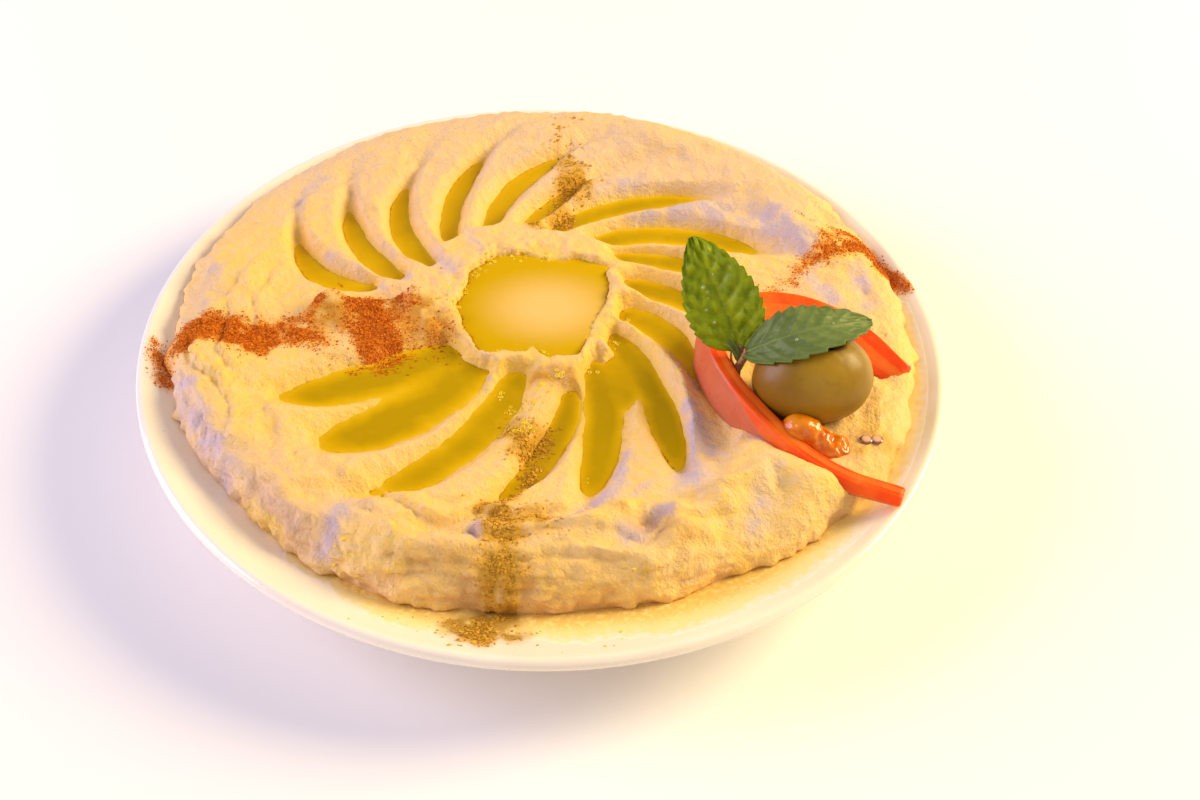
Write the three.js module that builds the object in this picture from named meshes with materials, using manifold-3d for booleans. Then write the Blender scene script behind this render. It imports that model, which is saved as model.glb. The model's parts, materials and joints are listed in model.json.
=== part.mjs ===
// A plate of hummus. A round coupe plate holds a thick disc of hummus. The hummus has a crater in
// the middle and curved spoon strokes all round it, and oil lies in the crater and in the strokes.
// A U of tomato wall stands at one side with an olive in it, some tomato pulp and a sprig of mint.
// Millimetres, +Z up. The origin is on the table under the middle of the foot ring.

import * as THREE from 'three';
import { mergeVertices } from 'three/addons/utils/BufferGeometryUtils.js';
import Module from 'manifold-3d';

const wasm = await Module();
wasm.setup();

const rad = Math.PI / 180;
const clearance = 0.3; // between pieces that touch

// ---------------------------------------------------------------- driving dimensions

const plate = {
  radius: 90,
  lipHeight: 18.9,
  lipRound: 1.4, // radius of the rolled lip
  wall: 3.8,
  wellRadius: 48, // flat part of the well
  wellHeight: 6.5,
  curve: 1.8, // power of the rise from the well to the lip
  footOuter: 52,
  footInner: 47,
  footTaper: 0.8,
  segments: 52,
};

const hummus = {
  x: -3, // the crater's middle, which the strokes run out from
  y: 10.8,
  field: 21.4, // height between the strokes
  bankRise: 0.9, // the outer ring stands a little higher
  bankStart: 54,
  bankEnd: 67,
  craterRimRise: 0.5,
  craterRimRadius: 21,
  craterRimWidth: 3.2,
  craterFloor: 17.6,
  edgeLip: 0.9, // thickness where the hummus ends on the plate
  shoulder: 7, // width over which the edge rolls down
  slopeWidth: 5, // towards the near right it rolls down over this much more
  slopeAngle: -57,
  slopeSpread: 10,
  leastThickness: 1.2,
  columns: 108,
  columnTwist: -0.72, // degrees for each mm, so that the mesh follows the strokes
};

// The hummus reaches this far from the plate's middle: nearly to the lip at the far side, and
// well short of it at the near side, where it ends in a thick bank.
const outline = {
  side: 83,
  farReach: 3.8,
  nearReach: -11.7,
  nearPower: 1.6,
  bulges: [[3.4, -28, 14], [3.2, -110, 19]], // reach, angle and spread
  ripples: [[5, 0.5, 40], [9, 0.45, 110], [17, 0.4, 200]], // waves round, height, phase
};

// The crater's ragged oil edge, all round its middle: angle and reach of each corner.
const craterEdge = {
  corners: [[-178, 17.3], [-163, 16.7], [-142, 17.2], [-127, 19.1], [-118, 18.9], [-110, 16.4],
    [-95, 16.7], [-88, 13.3], [-83, 16.7], [-69, 18.7], [-59, 20.3], [-52, 18.8], [-42, 16.7],
    [-26, 15.4], [-8, 15.2], [6, 17.5], [23, 19.2], [37, 21.7], [45, 21], [56, 20.1], [66, 16.4],
    [79, 16], [91, 17.1], [105, 17.7], [119, 18.5], [131, 18.2], [142, 18.1], [156, 16],
    [169, 16.1], [182, 17.3]],
  inside: 2.4, // the wall starts this far inside the edge
  outside: 1.8,
  strokesStart: 1.4, // no stroke cuts in nearer than this outside the edge
};

// Spoon strokes. Each runs out from the crater and bends as it goes: start radius and angle, end
// radius and angle and bend, all round the crater's middle, then half width and depth. Strokes
// with the same pool name share their oil, and the second of 12_13 only lets its oil join.
const strokes = [
  { pool: '01', from: [35, 169], to: [61, 157], bend: 5, half: 5.8, depth: 5.2, fan: true },
  { pool: '02', from: [30, 161], to: [57, 142], bend: 2, half: 5.8, depth: 5.2, fan: true },
  { pool: '03', from: [26, 147], to: [54, 126], bend: 3, half: 5.6, depth: 5.2, fan: true },
  { pool: '04', from: [29, 130], to: [57, 104], bend: 0, half: 5.3, depth: 5, fan: true },
  { pool: '05', from: [29, 111], to: [57, 85], bend: 0, half: 5.8, depth: 5.2, fan: true },
  { pool: '06', from: [29, 94], to: [46, 77], bend: -1, half: 4.4, depth: 4.8, fan: true },
  { pool: '07', from: [27, 80], to: [60, 44], bend: -1, half: 6.4, depth: 5.2 },
  { pool: '08', from: [27, 60], to: [58, 23], bend: -1, half: 7.2, depth: 5.2 },
  { pool: '09', from: [26, 45], to: [48, 11], bend: 0, half: 5.8, depth: 5 },
  { pool: '10', from: [22, 24], to: [41, -2], bend: 1, half: 6.2, depth: 5 },
  { pool: '11', from: [19, -2], to: [42, -28], bend: 3, half: 6.8, depth: 5 },
  { pool: '12_13', from: [18.5, -24], to: [59, -57], bend: -4.5, half: 6.8, depth: 5.6 },
  { pool: '12_13', from: [22, -41], to: [38, -55], bend: 0, half: 7, depth: 4.6 },
  { pool: '12_13', from: [19.5, -50], to: [60, -78], bend: -2, half: 7.8, depth: 5.2 },
  { pool: '14', from: [26, -70], to: [60, -96], bend: 0, half: 5.8, depth: 5 },
  { pool: '15', from: [19, -97], to: [65, -120], bend: 2, half: 9, depth: 5.2 },
  { pool: '16_17', from: [19.7, -124], to: [63, -136], bend: 3, half: 12.6, depth: 5.6 },
  { pool: '16_17', from: [19.7, -141], to: [62, -151], bend: 0, half: 10.6, depth: 5.4 },
  // without oil: the broad one under the torn crest, one by the tomato and two at the far edge
  { from: [27, -178], to: [70, -170], bend: 4, half: 11, depth: 2.4 },
  { from: [38, -24], to: [66, -54], bend: 0, half: 7, depth: 3 },
  { from: [52, 66], to: [74, 48], bend: 0, half: 7, depth: 1.6 },
  { from: [56, 40], to: [80, 22], bend: 0, half: 9, depth: 2 },
];
const strokeShape = {
  startNarrow: 0.66, // share of the width at the inner end
  widenBy: 0.35,
  endNarrow: 0.35, // share of the width lost towards the outer end
  rise: [-0.5, 2.8], // mm past the start over which it deepens
  fade: [0.8, 1.22],
  tail: 0.14, // share of the depth that runs on to the edge as a crease
  fanTail: 0.36, // and for the strokes of the fan
  tailWidening: 2.1,
  blend: 3, // power that joins strokes where they meet
};

const oilLevel = 18.4;
const craterOilLevel = 20.6;
const oilPools = [...new Set(strokes.flatMap(({ pool }) => pool ?? []))];
const oilHalf = 0.5; // share of a stroke's half width that its oil covers

// Folds and the torn crest beside the first stroke: points along each with the rise there, then
// the widths of its gentle side and of its steep side, which is the left one along the way.
const folds = [
  { points: [[-60, -2, 0], [-55, 3, 1.6], [-48.4, 10, 4.8], [-45, 9, 4], [-37, 9.2, 3.2],
    [-33.7, 9.8, 3.4], [-30, 11.4, 4.2], [-26.5, 9, 2.4], [-20.6, 5, 0.6]],
    gentle: 6.5,
    steep: 2.4 },
  { points: [[42, -34, 0], [46, -37, 2.2], [54, -43.4, 2.2], [61.4, -48, 1.9], [67, -51, 1.7],
    [71.5, -53, 1]],
    gentle: 5,
    steep: 3.4 },
  { points: [[44, 61, 0], [36.4, 68.1, 1.3], [27.7, 73, 1.3], [16, 75.5, 0]],
    gentle: 9,
    steep: 3.2 },
  { points: [[66, 24, 0], [61.4, 32.7, 2.2], [56.5, 44.4, 2.4], [50, 59, 0]],
    gentle: 9,
    steep: 3.4 },
  { points: [[26, -51, 0], [34.3, -41.5, 1.8], [40.2, -37.1, 1.8], [46.5, -32.5, 0]],
    gentle: 6.5,
    steep: 3 },
  { points: [[-36.5, -54, 0], [-29.4, -58.5, 1.4], [-20, -60.2, 1.6], [-12, -58.6, 0]],
    gentle: 4.5,
    steep: 3 },
];

// Lumps and hollows that the spoon left: middle, half length, half width, turn, rise.
const lumps = [
  [-42, 47, 4.5, 2, 60, 0.8], [17, -58, 9, 3.4, 12, 1.4], [43, -46, 8, 3.6, 22, 1.5],
  [24.5, -55, 6, 2.6, 50, -1.3], [48, -42, 7, 2.8, 55, -1.2], [-14, -59, 7, 3, 20, -0.8],
  [-38, -57, 9, 4, -30, 0.7], [-62, -32, 12, 5, -62, 0.6], [-66, 24, 11, 5, 65, 0.6],
  [-20, 74, 13, 3, 8, 0.6], [34, 68, 12, 4, -30, 0.8], [70, 42, 7, 3, -60, -1],
  [76, 22, 6, 2.6, -70, -1], [58, -58, 9, 4, 42, 0.5], [5, -50, 12, 2.6, 14, 0.9],
];

const olive = {
  middle: [57.4, -21, 28.7],
  half: [12.9, 10.2, 10.3],
  pitch: -9, // its right end stands up
  turn: -4,
  holeAt: [61.4, -21.4], // the hole that the stone came out of
  holeRadius: 2.3,
  holeDepth: 6.5,
};

// The tomato wall's upper skin edge from the near tip round to the far one.
const tomato = {
  edge: [[73.2, -49.8, 22.2], [61.6, -45, 23], [53.6, -39.8, 24.3], [46.2, -32, 26.2],
    [40.1, -23.8, 28], [36.2, -15, 29.2], [35, -6.5, 29.5], [38, 1.5, 29.4], [45.5, 5.8, 29.2],
    [55.5, 6.6, 28.6], [65.5, 3.6, 27.2], [73.5, -2.6, 25.4], [80.4, -10.4, 22.8]],
  steps: 34,
  frontThickness: 3.6, // width of the cut face on the near arm
  backThickness: 8, // and where it is widest, on the far arm
  endThickness: 4.6,
  cutDrop: 2.2, // the far arm's cut face leans inwards by this much
  bottom: 18.8,
  endBottom: 19.8, // at both tips
  flare: 0.16, // the skin leans out by this much for each mm down
  bulge: 0.7,
};

const pulp = {
  blobs: [[54.6, -32.4, 24, 4.6, 3.4, 3.9], [60.6, -35.4, 22.5, 4.2, 3, 2.1],
    [57.6, -33.6, 22.6, 3.8, 2.9, 2.6]],
};

const seeds = {
  places: [[68.4, -32.5], [70.9, -32.1]],
  radius: 1.25,
  height: 0.7,
};

const mint = {
  leafThickness: 0.5,
  stemRadius: 0.75,
  stem: [[42, -16.4, 20.2], [41.9, -16.2, 24.5], [42, -15.8, 27.4]],
  uprightStalk: [[42, -15.8, 27.2], [42.6, -14.6, 29], [42.4, -14.2, 31.4]],
  lyingStalk: [[42, -15.8, 27.2], [42.4, -16.6, 29.5], [43.2, -16.9, 32.4]],
  upright: {
    base: [42.5, -14.4, 31], bow: [37.7, -9.5, 42], tip: [31.1, -0.3, 50],
    side: [0.9, 0.11, 0.42], width: 17, broad: 0.76, blunt: 0.52, lean: 0.12, cup: 0.16, steps: 13,
  },
  lying: {
    base: [42.6, -16.6, 31.5], bow: [54, -23.5, 47.8], tip: [70.2, -12.3, 37.2],
    side: [-0.28, 0.95, 0.05], width: 14.5, broad: 0.74, blunt: 0.72, lean: -0.05, cup: -0.1,
    steps: 13,
  },
  small: {
    base: [42, -15.8, 28.6], bow: [41, -14.2, 33], tip: [38.9, -12.6, 33],
    side: [0.6, 0.75, 0.2], width: 3.2, broad: 0.8, blunt: 0.8, lean: 0, cup: 0.1, steps: 5,
  },
};

// ---------------------------------------------------------------- small helpers

const clamp = (value, low, high) => Math.min(high, Math.max(low, value));
const mix = (a, b, share) => a + (b - a) * share;
const bell = (distance, width) => Math.exp(-((distance / width) ** 2));

function smooth(start, end, value) {
  const share = clamp((value - start) / (end - start), 0, 1);
  return share * share * (3 - 2 * share);
}

function turnBetween(degrees, centre) {
  return ((((degrees - centre + 180) % 360) + 360) % 360) - 180;
}

function closedGeometry(positions, triangles) {
  const geometry = new THREE.BufferGeometry();
  geometry.setAttribute('position', new THREE.Float32BufferAttribute(positions, 3));
  geometry.setIndex(triangles);
  return geometry;
}

// A closed geometry becomes a solid: shared vertices merged, flat triangles dropped, faces out.
function solidOf(source) {
  const bare = source.clone();
  bare.deleteAttribute('normal');
  bare.deleteAttribute('uv');
  const merged = mergeVertices(bare, 1e-4);
  const vertProperties = new Float32Array(merged.attributes.position.array);
  const corner = (i) => new THREE.Vector3().fromArray(vertProperties, 3 * i);
  const kept = [];
  let volume = 0;
  for (let i = 0; i < merged.index.count; i += 3) {
    const [a, b, c] = [0, 1, 2].map((k) => merged.index.getX(i + k));
    if (a === b || b === c || c === a) continue;
    kept.push(a, b, c);
    volume += corner(a).dot(corner(b).cross(corner(c)));
  }
  if (volume < 0) kept.reverse();
  const mesh = new wasm.Mesh({ numProp: 3, vertProperties, triVerts: new Uint32Array(kept) });
  return new wasm.Manifold(mesh);
}

function geometryOf(solid) {
  const { vertProperties, triVerts } = solid.getMesh();
  const geometry = closedGeometry(Array.from(vertProperties), Array.from(triVerts));
  geometry.computeVertexNormals();
  return geometry;
}

function largest(solid) {
  return solid.decompose().reduce((a, b) => (a.volume() > b.volume() ? a : b));
}

// Loops of equally many points are skinned one after another and closed with a fan at each end.
function loft(loops) {
  const count = loops[0].length;
  const middles = [loops[0], loops.at(-1)].map((loop) => loop
    .reduce((sum, p) => sum.add(p), new THREE.Vector3()).divideScalar(count));
  const positions = [...loops.flat(), ...middles].flatMap((p) => [p.x, p.y, p.z]);
  const triangles = [];
  const last = (loops.length - 1) * count;
  for (let i = 0; i < count; i += 1) {
    const next = (i + 1) % count;
    for (let row = 0; row < last; row += count) {
      triangles.push(row + i, row + next, row + count + next);
      triangles.push(row + i, row + count + next, row + count + i);
    }
    triangles.push(last + count, next, i, last + count + 1, last + i, last + next);
  }
  return closedGeometry(positions, triangles);
}

function ellipsoid(middle, half, { turn = 0, pitch = 0, around = 18, down = 10 } = {}) {
  return new THREE.SphereGeometry(1, around, down)
    .rotateX(90 * rad)
    .scale(...half)
    .rotateY(pitch * rad)
    .rotateZ(turn * rad)
    .translate(...middle);
}

// ---------------------------------------------------------------- plate

const lipMiddle = { r: plate.radius - plate.lipRound, z: plate.lipHeight - plate.lipRound };
const lipSlope = 27 * rad; // of the wall where it meets the lip
const wallEnd = {
  r: lipMiddle.r - plate.lipRound * Math.sin(lipSlope),
  z: lipMiddle.z + plate.lipRound * Math.cos(lipSlope),
};

function plateTop(r) {
  const share = clamp((r - plate.wellRadius) / (wallEnd.r - plate.wellRadius), 0, 1.03);
  return plate.wellHeight + (wallEnd.z - plate.wellHeight) * share ** plate.curve;
}

function plateShape() {
  const underside = plate.wellHeight - plate.wall;
  const profile = [[0, underside], [plate.footInner - plate.footTaper, underside],
    [plate.footInner, 0], [plate.footOuter - plate.footTaper, 0], [plate.footOuter, 2.9]];
  for (let i = 1; i <= 3; i += 1) {
    const r = mix(plate.wellRadius + 4, wallEnd.r, i / 4);
    const slope = Math.atan((plateTop(r + 0.5) - plateTop(r - 0.5)));
    profile.push([r + plate.wall * Math.sin(slope), plateTop(r) - plate.wall * Math.cos(slope)]);
  }
  for (let i = 0; i <= 4; i += 1) {
    const angle = -90 * rad + lipSlope + (i / 4) * 180 * rad;
    profile.push([lipMiddle.r + plate.lipRound * Math.cos(angle),
      lipMiddle.z + plate.lipRound * Math.sin(angle)]);
  }
  for (let i = 4; i >= 0; i -= 1) {
    const r = mix(plate.wellRadius, wallEnd.r, i / 5);
    profile.push([r, plateTop(r)]);
  }
  profile.push([0, plate.wellHeight]);
  const points = profile.map(([r, z]) => new THREE.Vector2(r, z));
  return new THREE.LatheGeometry(points, plate.segments).rotateX(90 * rad);
}

// ---------------------------------------------------------------- hummus

function plateReach(degrees) {
  const up = Math.sin(degrees * rad);
  let reach = outline.side + outline.farReach * Math.max(0, up);
  reach += outline.nearReach * Math.max(0, -up) ** outline.nearPower;
  for (const [height, angle, spread] of outline.bulges) {
    reach += height * bell(turnBetween(degrees, angle), spread);
  }
  const near = 0.3 + 0.7 * Math.max(0, -up);
  for (const [waves, height, phase] of outline.ripples) {
    reach += near * height * Math.sin((waves * degrees + phase) * rad);
  }
  return reach;
}

// Distance from the crater's middle to the hummus's edge in a direction.
function edgeReach(degrees) {
  const along = [Math.cos(degrees * rad), Math.sin(degrees * rad)];
  let reach = 80;
  for (let i = 0; i < 8; i += 1) {
    const x = hummus.x + reach * along[0];
    const y = hummus.y + reach * along[1];
    reach += plateReach(Math.atan2(y, x) / rad) - Math.hypot(x, y);
  }
  return reach;
}

function craterReach(degrees) {
  const angle = turnBetween(degrees, 2) + 2;
  const { corners } = craterEdge;
  const next = corners.findIndex((corner) => corner[0] >= angle);
  const [a, reachA] = corners[Math.max(next, 1) - 1];
  const [b, reachB] = corners[Math.max(next, 1)];
  return mix(reachA, reachB, (angle - a) / (b - a));
}

function shoulderWidth(degrees) {
  const away = turnBetween(degrees, hummus.slopeAngle);
  return hummus.shoulder + hummus.slopeWidth * bell(away, hummus.slopeSpread);
}

function strokeDepth(stroke, q, degrees, edge) {
  const length = stroke.to[0] - stroke.from[0];
  const share = (q - stroke.from[0]) / length;
  const along = clamp(share, -0.2, 2.2);
  const sweep = stroke.to[1] - stroke.from[1];
  const bend = 4 * stroke.bend * Math.min(along, 1.2) * (1 - Math.min(along, 1.2));
  const centre = stroke.from[1] + sweep * along + bend;
  const slope = (q * rad * (sweep + 4 * stroke.bend * (1 - 2 * clamp(along, 0, 1)))) / length;
  const aside = (q * rad * turnBetween(degrees, centre)) / Math.hypot(1, slope);
  const shape = strokeShape;
  const half = stroke.half
    * mix(shape.startNarrow, 1, smooth(0, shape.widenBy, share))
    * (1 - shape.endNarrow * smooth(0.6, 1.1, share))
    * mix(1, shape.tailWidening, smooth(1.1, 2, share));
  const across = Math.max(0, 1 - (aside / half) ** 2) ** 2;
  const nearest = Math.max(stroke.from[0], craterReach(degrees) + craterEdge.strokesStart);
  const start = smooth(...shape.rise, q - nearest);
  const tail = (stroke.fan ? shape.fanTail : shape.tail) * (1 - smooth(edge - 14, edge - 3, q));
  return stroke.depth * across * start * mix(1, tail, smooth(...shape.fade, share));
}

function foldRise(x, y) {
  let total = 0;
  for (const { points, gentle, steep } of folds) {
    let nearest = Infinity;
    let rise = 0;
    for (let i = 1; i < points.length; i += 1) {
      const [ax, ay, aRise] = points[i - 1];
      const [bx, by, bRise] = points[i];
      const [dx, dy] = [bx - ax, by - ay];
      const share = clamp(((x - ax) * dx + (y - ay) * dy) / (dx * dx + dy * dy), 0, 1);
      const away = Math.hypot(x - ax - dx * share, y - ay - dy * share);
      if (away < nearest) {
        const left = dx * (y - ay) > dy * (x - ax);
        nearest = away;
        rise = mix(aRise, bRise, share) * bell(away, left ? steep : gentle);
      }
    }
    total += rise;
  }
  return total;
}

function lumpRise(x, y) {
  let rise = 0;
  for (const [cx, cy, halfLength, halfWidth, turn, height] of lumps) {
    const along = (x - cx) * Math.cos(turn * rad) + (y - cy) * Math.sin(turn * rad);
    const across = (y - cy) * Math.cos(turn * rad) - (x - cx) * Math.sin(turn * rad);
    rise += height * bell(along, halfLength) * bell(across, halfWidth);
  }
  return rise;
}

function hummusTop(x, y) {
  const q = Math.hypot(x - hummus.x, y - hummus.y);
  const degrees = Math.atan2(y - hummus.y, x - hummus.x) / rad;
  const edge = edgeReach(degrees);
  const cut = strokes.reduce(
    (sum, stroke) => sum + strokeDepth(stroke, q, degrees, edge) ** strokeShape.blend, 0,
  ) ** (1 / strokeShape.blend);
  let z = hummus.field + hummus.bankRise * smooth(hummus.bankStart, hummus.bankEnd, q) - cut
    + hummus.craterRimRise * bell(q - hummus.craterRimRadius, hummus.craterRimWidth)
    + foldRise(x, y) + lumpRise(x, y);
  const oilEdge = craterReach(degrees);
  z = mix(hummus.craterFloor, z, smooth(oilEdge - craterEdge.inside, oilEdge + craterEdge.outside, q));
  const floor = plateTop(Math.hypot(x, y)) + clearance;
  const inward = clamp((edge - q) / shoulderWidth(degrees), 0, 1);
  const roll = Math.sqrt(1 - (1 - inward) ** 2.2);
  z = mix(floor + hummus.edgeLip, z, roll);
  return Math.max(z, floor + Math.min(hummus.edgeLip, hummus.leastThickness));
}

// Two rings of vertices are joined by triangles. The second may have twice as many as the first,
// or half as many. A quad is split along the diagonal that climbs less.
function stitch(triangles, positions, [a, aCount], [b, bCount]) {
  if (aCount === bCount) {
    for (let i = 0; i < aCount; i += 1) {
      const next = (i + 1) % aCount;
      const climbs = (from, to) => Math.abs(positions[3 * from + 2] - positions[3 * to + 2]);
      if (climbs(a + i, b + next) < climbs(a + next, b + i)) {
        triangles.push(a + i, b + i, b + next, a + i, b + next, a + next);
      } else {
        triangles.push(a + i, b + i, a + next, b + i, b + next, a + next);
      }
    }
    return;
  }
  const widens = bCount > aCount;
  const [few, many, fewCount] = widens ? [a, b, aCount] : [b, a, bCount];
  for (let i = 0; i < fewCount; i += 1) {
    const next = (i + 1) % fewCount;
    const fans = [[few + i, many + 2 * i, many + 2 * i + 1], [few + i, many + 2 * i + 1, few + next],
      [few + next, many + 2 * i + 1, many + ((2 * i + 2) % (2 * fewCount))]];
    fans.forEach((fan) => triangles.push(...(widens ? fan : fan.reverse())));
  }
}

function hummusBody() {
  const inner = [11.5, 14.2, 16, 17.6, 19.3, 21.5, 24, 27, 30, 33, 36.5, 40, 43.5, 47, 50.5, 54.5,
    60];
  const outer = [-13, -9, -6, -3.6, -1.7, -0.5, 0]; // from the edge inwards
  const under = [1, 0.9, 0.76, 0.58]; // shares of the edge's reach
  const { columns } = hummus;
  const positions = [hummus.x, hummus.y, hummusTop(hummus.x, hummus.y)];
  const rings = [];
  const underHeight = (x, y) => plateTop(Math.hypot(x, y)) + clearance;
  const addRing = (count, twistAt, reach, height) => {
    rings.push([positions.length / 3, count]);
    for (let i = 0; i < count; i += 1) {
      const degrees = (360 * i) / count + hummus.columnTwist * clamp(twistAt - 20, 0, 40);
      const x = hummus.x + reach(degrees) * Math.cos(degrees * rad);
      const y = hummus.y + reach(degrees) * Math.sin(degrees * rad);
      positions.push(x, y, height(x, y));
    }
  };
  inner.forEach((q) => addRing(q < 15 ? columns / 2 : columns, q, () => q, hummusTop));
  outer.forEach((inset) => addRing(columns, 62, (degrees) => edgeReach(degrees) + inset, hummusTop));
  under.forEach((share) => addRing(share < 1 ? columns / 2 : columns, 62,
    (degrees) => share * edgeReach(degrees), underHeight));
  const last = positions.length / 3;
  positions.push(hummus.x, hummus.y, underHeight(hummus.x, hummus.y));
  const triangles = [];
  for (let i = 0; i < columns / 2; i += 1) {
    const next = (i + 1) % (columns / 2);
    triangles.push(0, 1 + i, 1 + next, rings.at(-1)[0] + next, rings.at(-1)[0] + i, last);
  }
  for (let i = 1; i < rings.length; i += 1) stitch(triangles, positions, rings[i - 1], rings[i]);
  return solidOf(closedGeometry(positions, triangles));
}

// ---------------------------------------------------------------- oil

function strokeFootprint(stroke) {
  const loops = [];
  for (let i = 0; i <= 10; i += 1) {
    const share = mix(-0.12, 1.2, i / 10);
    const q = mix(stroke.from[0], stroke.to[0], share);
    const bend = 4 * stroke.bend * share * (1 - share);
    const centre = mix(stroke.from[1], stroke.to[1], share) + bend;
    const slope = (q * rad * (stroke.to[1] - stroke.from[1])) / (stroke.to[0] - stroke.from[0]);
    const half = (oilHalf * stroke.half * Math.hypot(1, slope)) / (q * rad);
    loops.push([[centre - half, 12], [centre + half, 12], [centre + half, oilLevel],
      [centre - half, oilLevel]].map(([degrees, z]) => new THREE.Vector3(
      hummus.x + q * Math.cos(degrees * rad), hummus.y + q * Math.sin(degrees * rad), z,
    )));
  }
  return solidOf(loft(loops));
}

function strokeOil(name, ground) {
  const prisms = strokes.filter(({ pool }) => pool === name).map(strokeFootprint);
  return largest(prisms.reduce((a, b) => a.add(b)).subtract(ground));
}

function craterOil(ground) {
  const bottom = hummus.craterFloor + clearance + 0.1;
  const loops = [bottom, craterOilLevel].map((z) => {
    const loop = [];
    for (let degrees = 0; degrees < 360; degrees += 9) {
      const reach = craterReach(degrees) + craterEdge.outside;
      loop.push(new THREE.Vector3(hummus.x + reach * Math.cos(degrees * rad),
        hummus.y + reach * Math.sin(degrees * rad), z));
    }
    return loop;
  });
  return largest(solidOf(loft(loops)).subtract(ground));
}

// ---------------------------------------------------------------- olive, tomato, pulp, seeds

function oliveBody(grow = 0) {
  return solidOf(ellipsoid(olive.middle, olive.half.map((h) => h + grow), olive));
}

function oliveShape() {
  const [x, y] = olive.holeAt;
  const top = olive.middle[2] + olive.half[2];
  const hole = new THREE.CylinderGeometry(olive.holeRadius, olive.holeRadius * 0.7,
    olive.holeDepth + 4, 14).rotateX(90 * rad).translate(x, y, top + 2 - olive.holeDepth / 2);
  return oliveBody().subtract(solidOf(hole));
}

function tomatoThickness(share) {
  const far = mix(tomato.frontThickness, tomato.backThickness, smooth(0.48, 0.7, share));
  return mix(far, tomato.endThickness, smooth(0.88, 1, share));
}

function tomatoBody(grow = 0) {
  const curve = new THREE.CatmullRomCurve3(tomato.edge.map((p) => new THREE.Vector3(...p)));
  const loops = [];
  for (let i = 0; i <= tomato.steps; i += 1) {
    const share = i / tomato.steps;
    const point = curve.getPointAt(share);
    const tangent = curve.getTangentAt(share).setZ(0).normalize();
    const out = new THREE.Vector3(-tangent.y, tangent.x, 0); // away from the inside of the U
    if (share > 0 && share < 1) tangent.set(0, 0, 0);
    point.addScaledVector(tangent, share === 0 ? -grow : grow);
    const thick = tomatoThickness(share);
    const drop = tomato.cutDrop * smooth(0.48, 0.7, share);
    const tip = 1 - smooth(0, 0.25, share) + smooth(0.8, 1, share);
    const bottom = mix(tomato.bottom, tomato.endBottom, tip) - grow;
    const deep = point.z - bottom;
    const foot = tomato.flare * deep;
    const section = [[grow, grow], [0.4 * foot + tomato.bulge + grow, -0.45 * deep],
      [foot + grow, -deep], [foot - thick - grow, -deep],
      [0.4 * foot - thick - grow, -0.5 * deep - drop * 0.5], [-thick - grow, grow - drop]];
    loops.push(section.map(([aside, up]) => point.clone()
      .addScaledVector(out, aside).add(new THREE.Vector3(0, 0, up))));
  }
  return solidOf(loft(loops));
}

function pulpBody(ground) {
  const blobs = pulp.blobs.map(([x, y, z, a, b, c]) => solidOf(
    ellipsoid([x, y, z], [a, b, c], { turn: -25, around: 10, down: 6 }),
  ));
  const whole = blobs.reduce((a, b) => a.add(b));
  return largest(whole.subtract(oliveBody(clearance)).subtract(tomatoBody(clearance))
    .subtract(ground));
}

function seedBodies() {
  return seeds.places.map(([x, y]) => solidOf(ellipsoid(
    [x, y, hummusTop(x, y) + 0.15], [seeds.radius, seeds.radius, seeds.height],
    { around: 10, down: 6 },
  )));
}

// ---------------------------------------------------------------- mint

function leafBody(leaf) {
  const [base, bow, tip] = [leaf.base, leaf.bow, leaf.tip].map((p) => new THREE.Vector3(...p));
  const spine = new THREE.QuadraticBezierCurve3(base, bow, tip);
  const across = 4;
  const positions = [];
  for (const face of [1, -1]) {
    for (let i = 0; i <= leaf.steps; i += 1) {
      const share = i / leaf.steps;
      const tangent = spine.getTangent(share);
      const side = new THREE.Vector3(...leaf.side).projectOnPlane(tangent).normalize();
      const up = new THREE.Vector3().crossVectors(side, tangent);
      const full = Math.sin(Math.PI * clamp(share, 0.03, 0.985) ** leaf.broad) ** leaf.blunt;
      const tooth = 1 - 0.07 * ((i % 2) === 0 ? 1 : 0);
      const half = 0.5 * leaf.width * full * tooth;
      for (let k = -across / 2; k <= across / 2; k += 1) {
        const aside = k / (across / 2);
        const wave = 0.25 * Math.sin(9 * share + 2 * aside) * Math.abs(aside);
        const lift = leaf.cup * half * aside ** 2 + wave + leaf.lean * aside;
        const p = spine.getPoint(share).addScaledVector(side, aside * half)
          .addScaledVector(up, lift + (face * mint.leafThickness) / 2);
        positions.push(p.x, p.y, p.z);
      }
    }
  }
  const row = across + 1;
  const back = row * (leaf.steps + 1);
  const triangles = [];
  const wall = (a, b) => triangles.push(a, b, back + b, a, back + b, back + a);
  for (let i = 0; i < leaf.steps; i += 1) {
    for (let k = 0; k < across; k += 1) {
      const a = i * row + k;
      triangles.push(a, a + 1, a + row + 1, a, a + row + 1, a + row);
      triangles.push(back + a, back + a + row + 1, back + a + 1);
      triangles.push(back + a, back + a + row, back + a + row + 1);
    }
    wall(i * row, (i + 1) * row);
    wall((i + 1) * row + across, i * row + across);
  }
  for (let k = 0; k < across; k += 1) {
    wall(k + 1, k);
    wall(leaf.steps * row + k, leaf.steps * row + k + 1);
  }
  return solidOf(closedGeometry(positions, triangles));
}

function stalkBody(points, radius, deeper = 0) {
  const curve = new THREE.CatmullRomCurve3(points.map((p) => new THREE.Vector3(...p)));
  const loops = [];
  for (let i = 0; i <= 3; i += 1) {
    const centre = curve.getPoint(i / 3);
    if (i === 0) centre.z -= deeper;
    loops.push([0, 60, 120, 180, 240, 300].map((angle) => new THREE.Vector3(
      centre.x + radius * Math.cos(angle * rad), centre.y + radius * Math.sin(angle * rad),
      centre.z,
    )));
  }
  return solidOf(loft(loops));
}

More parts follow.
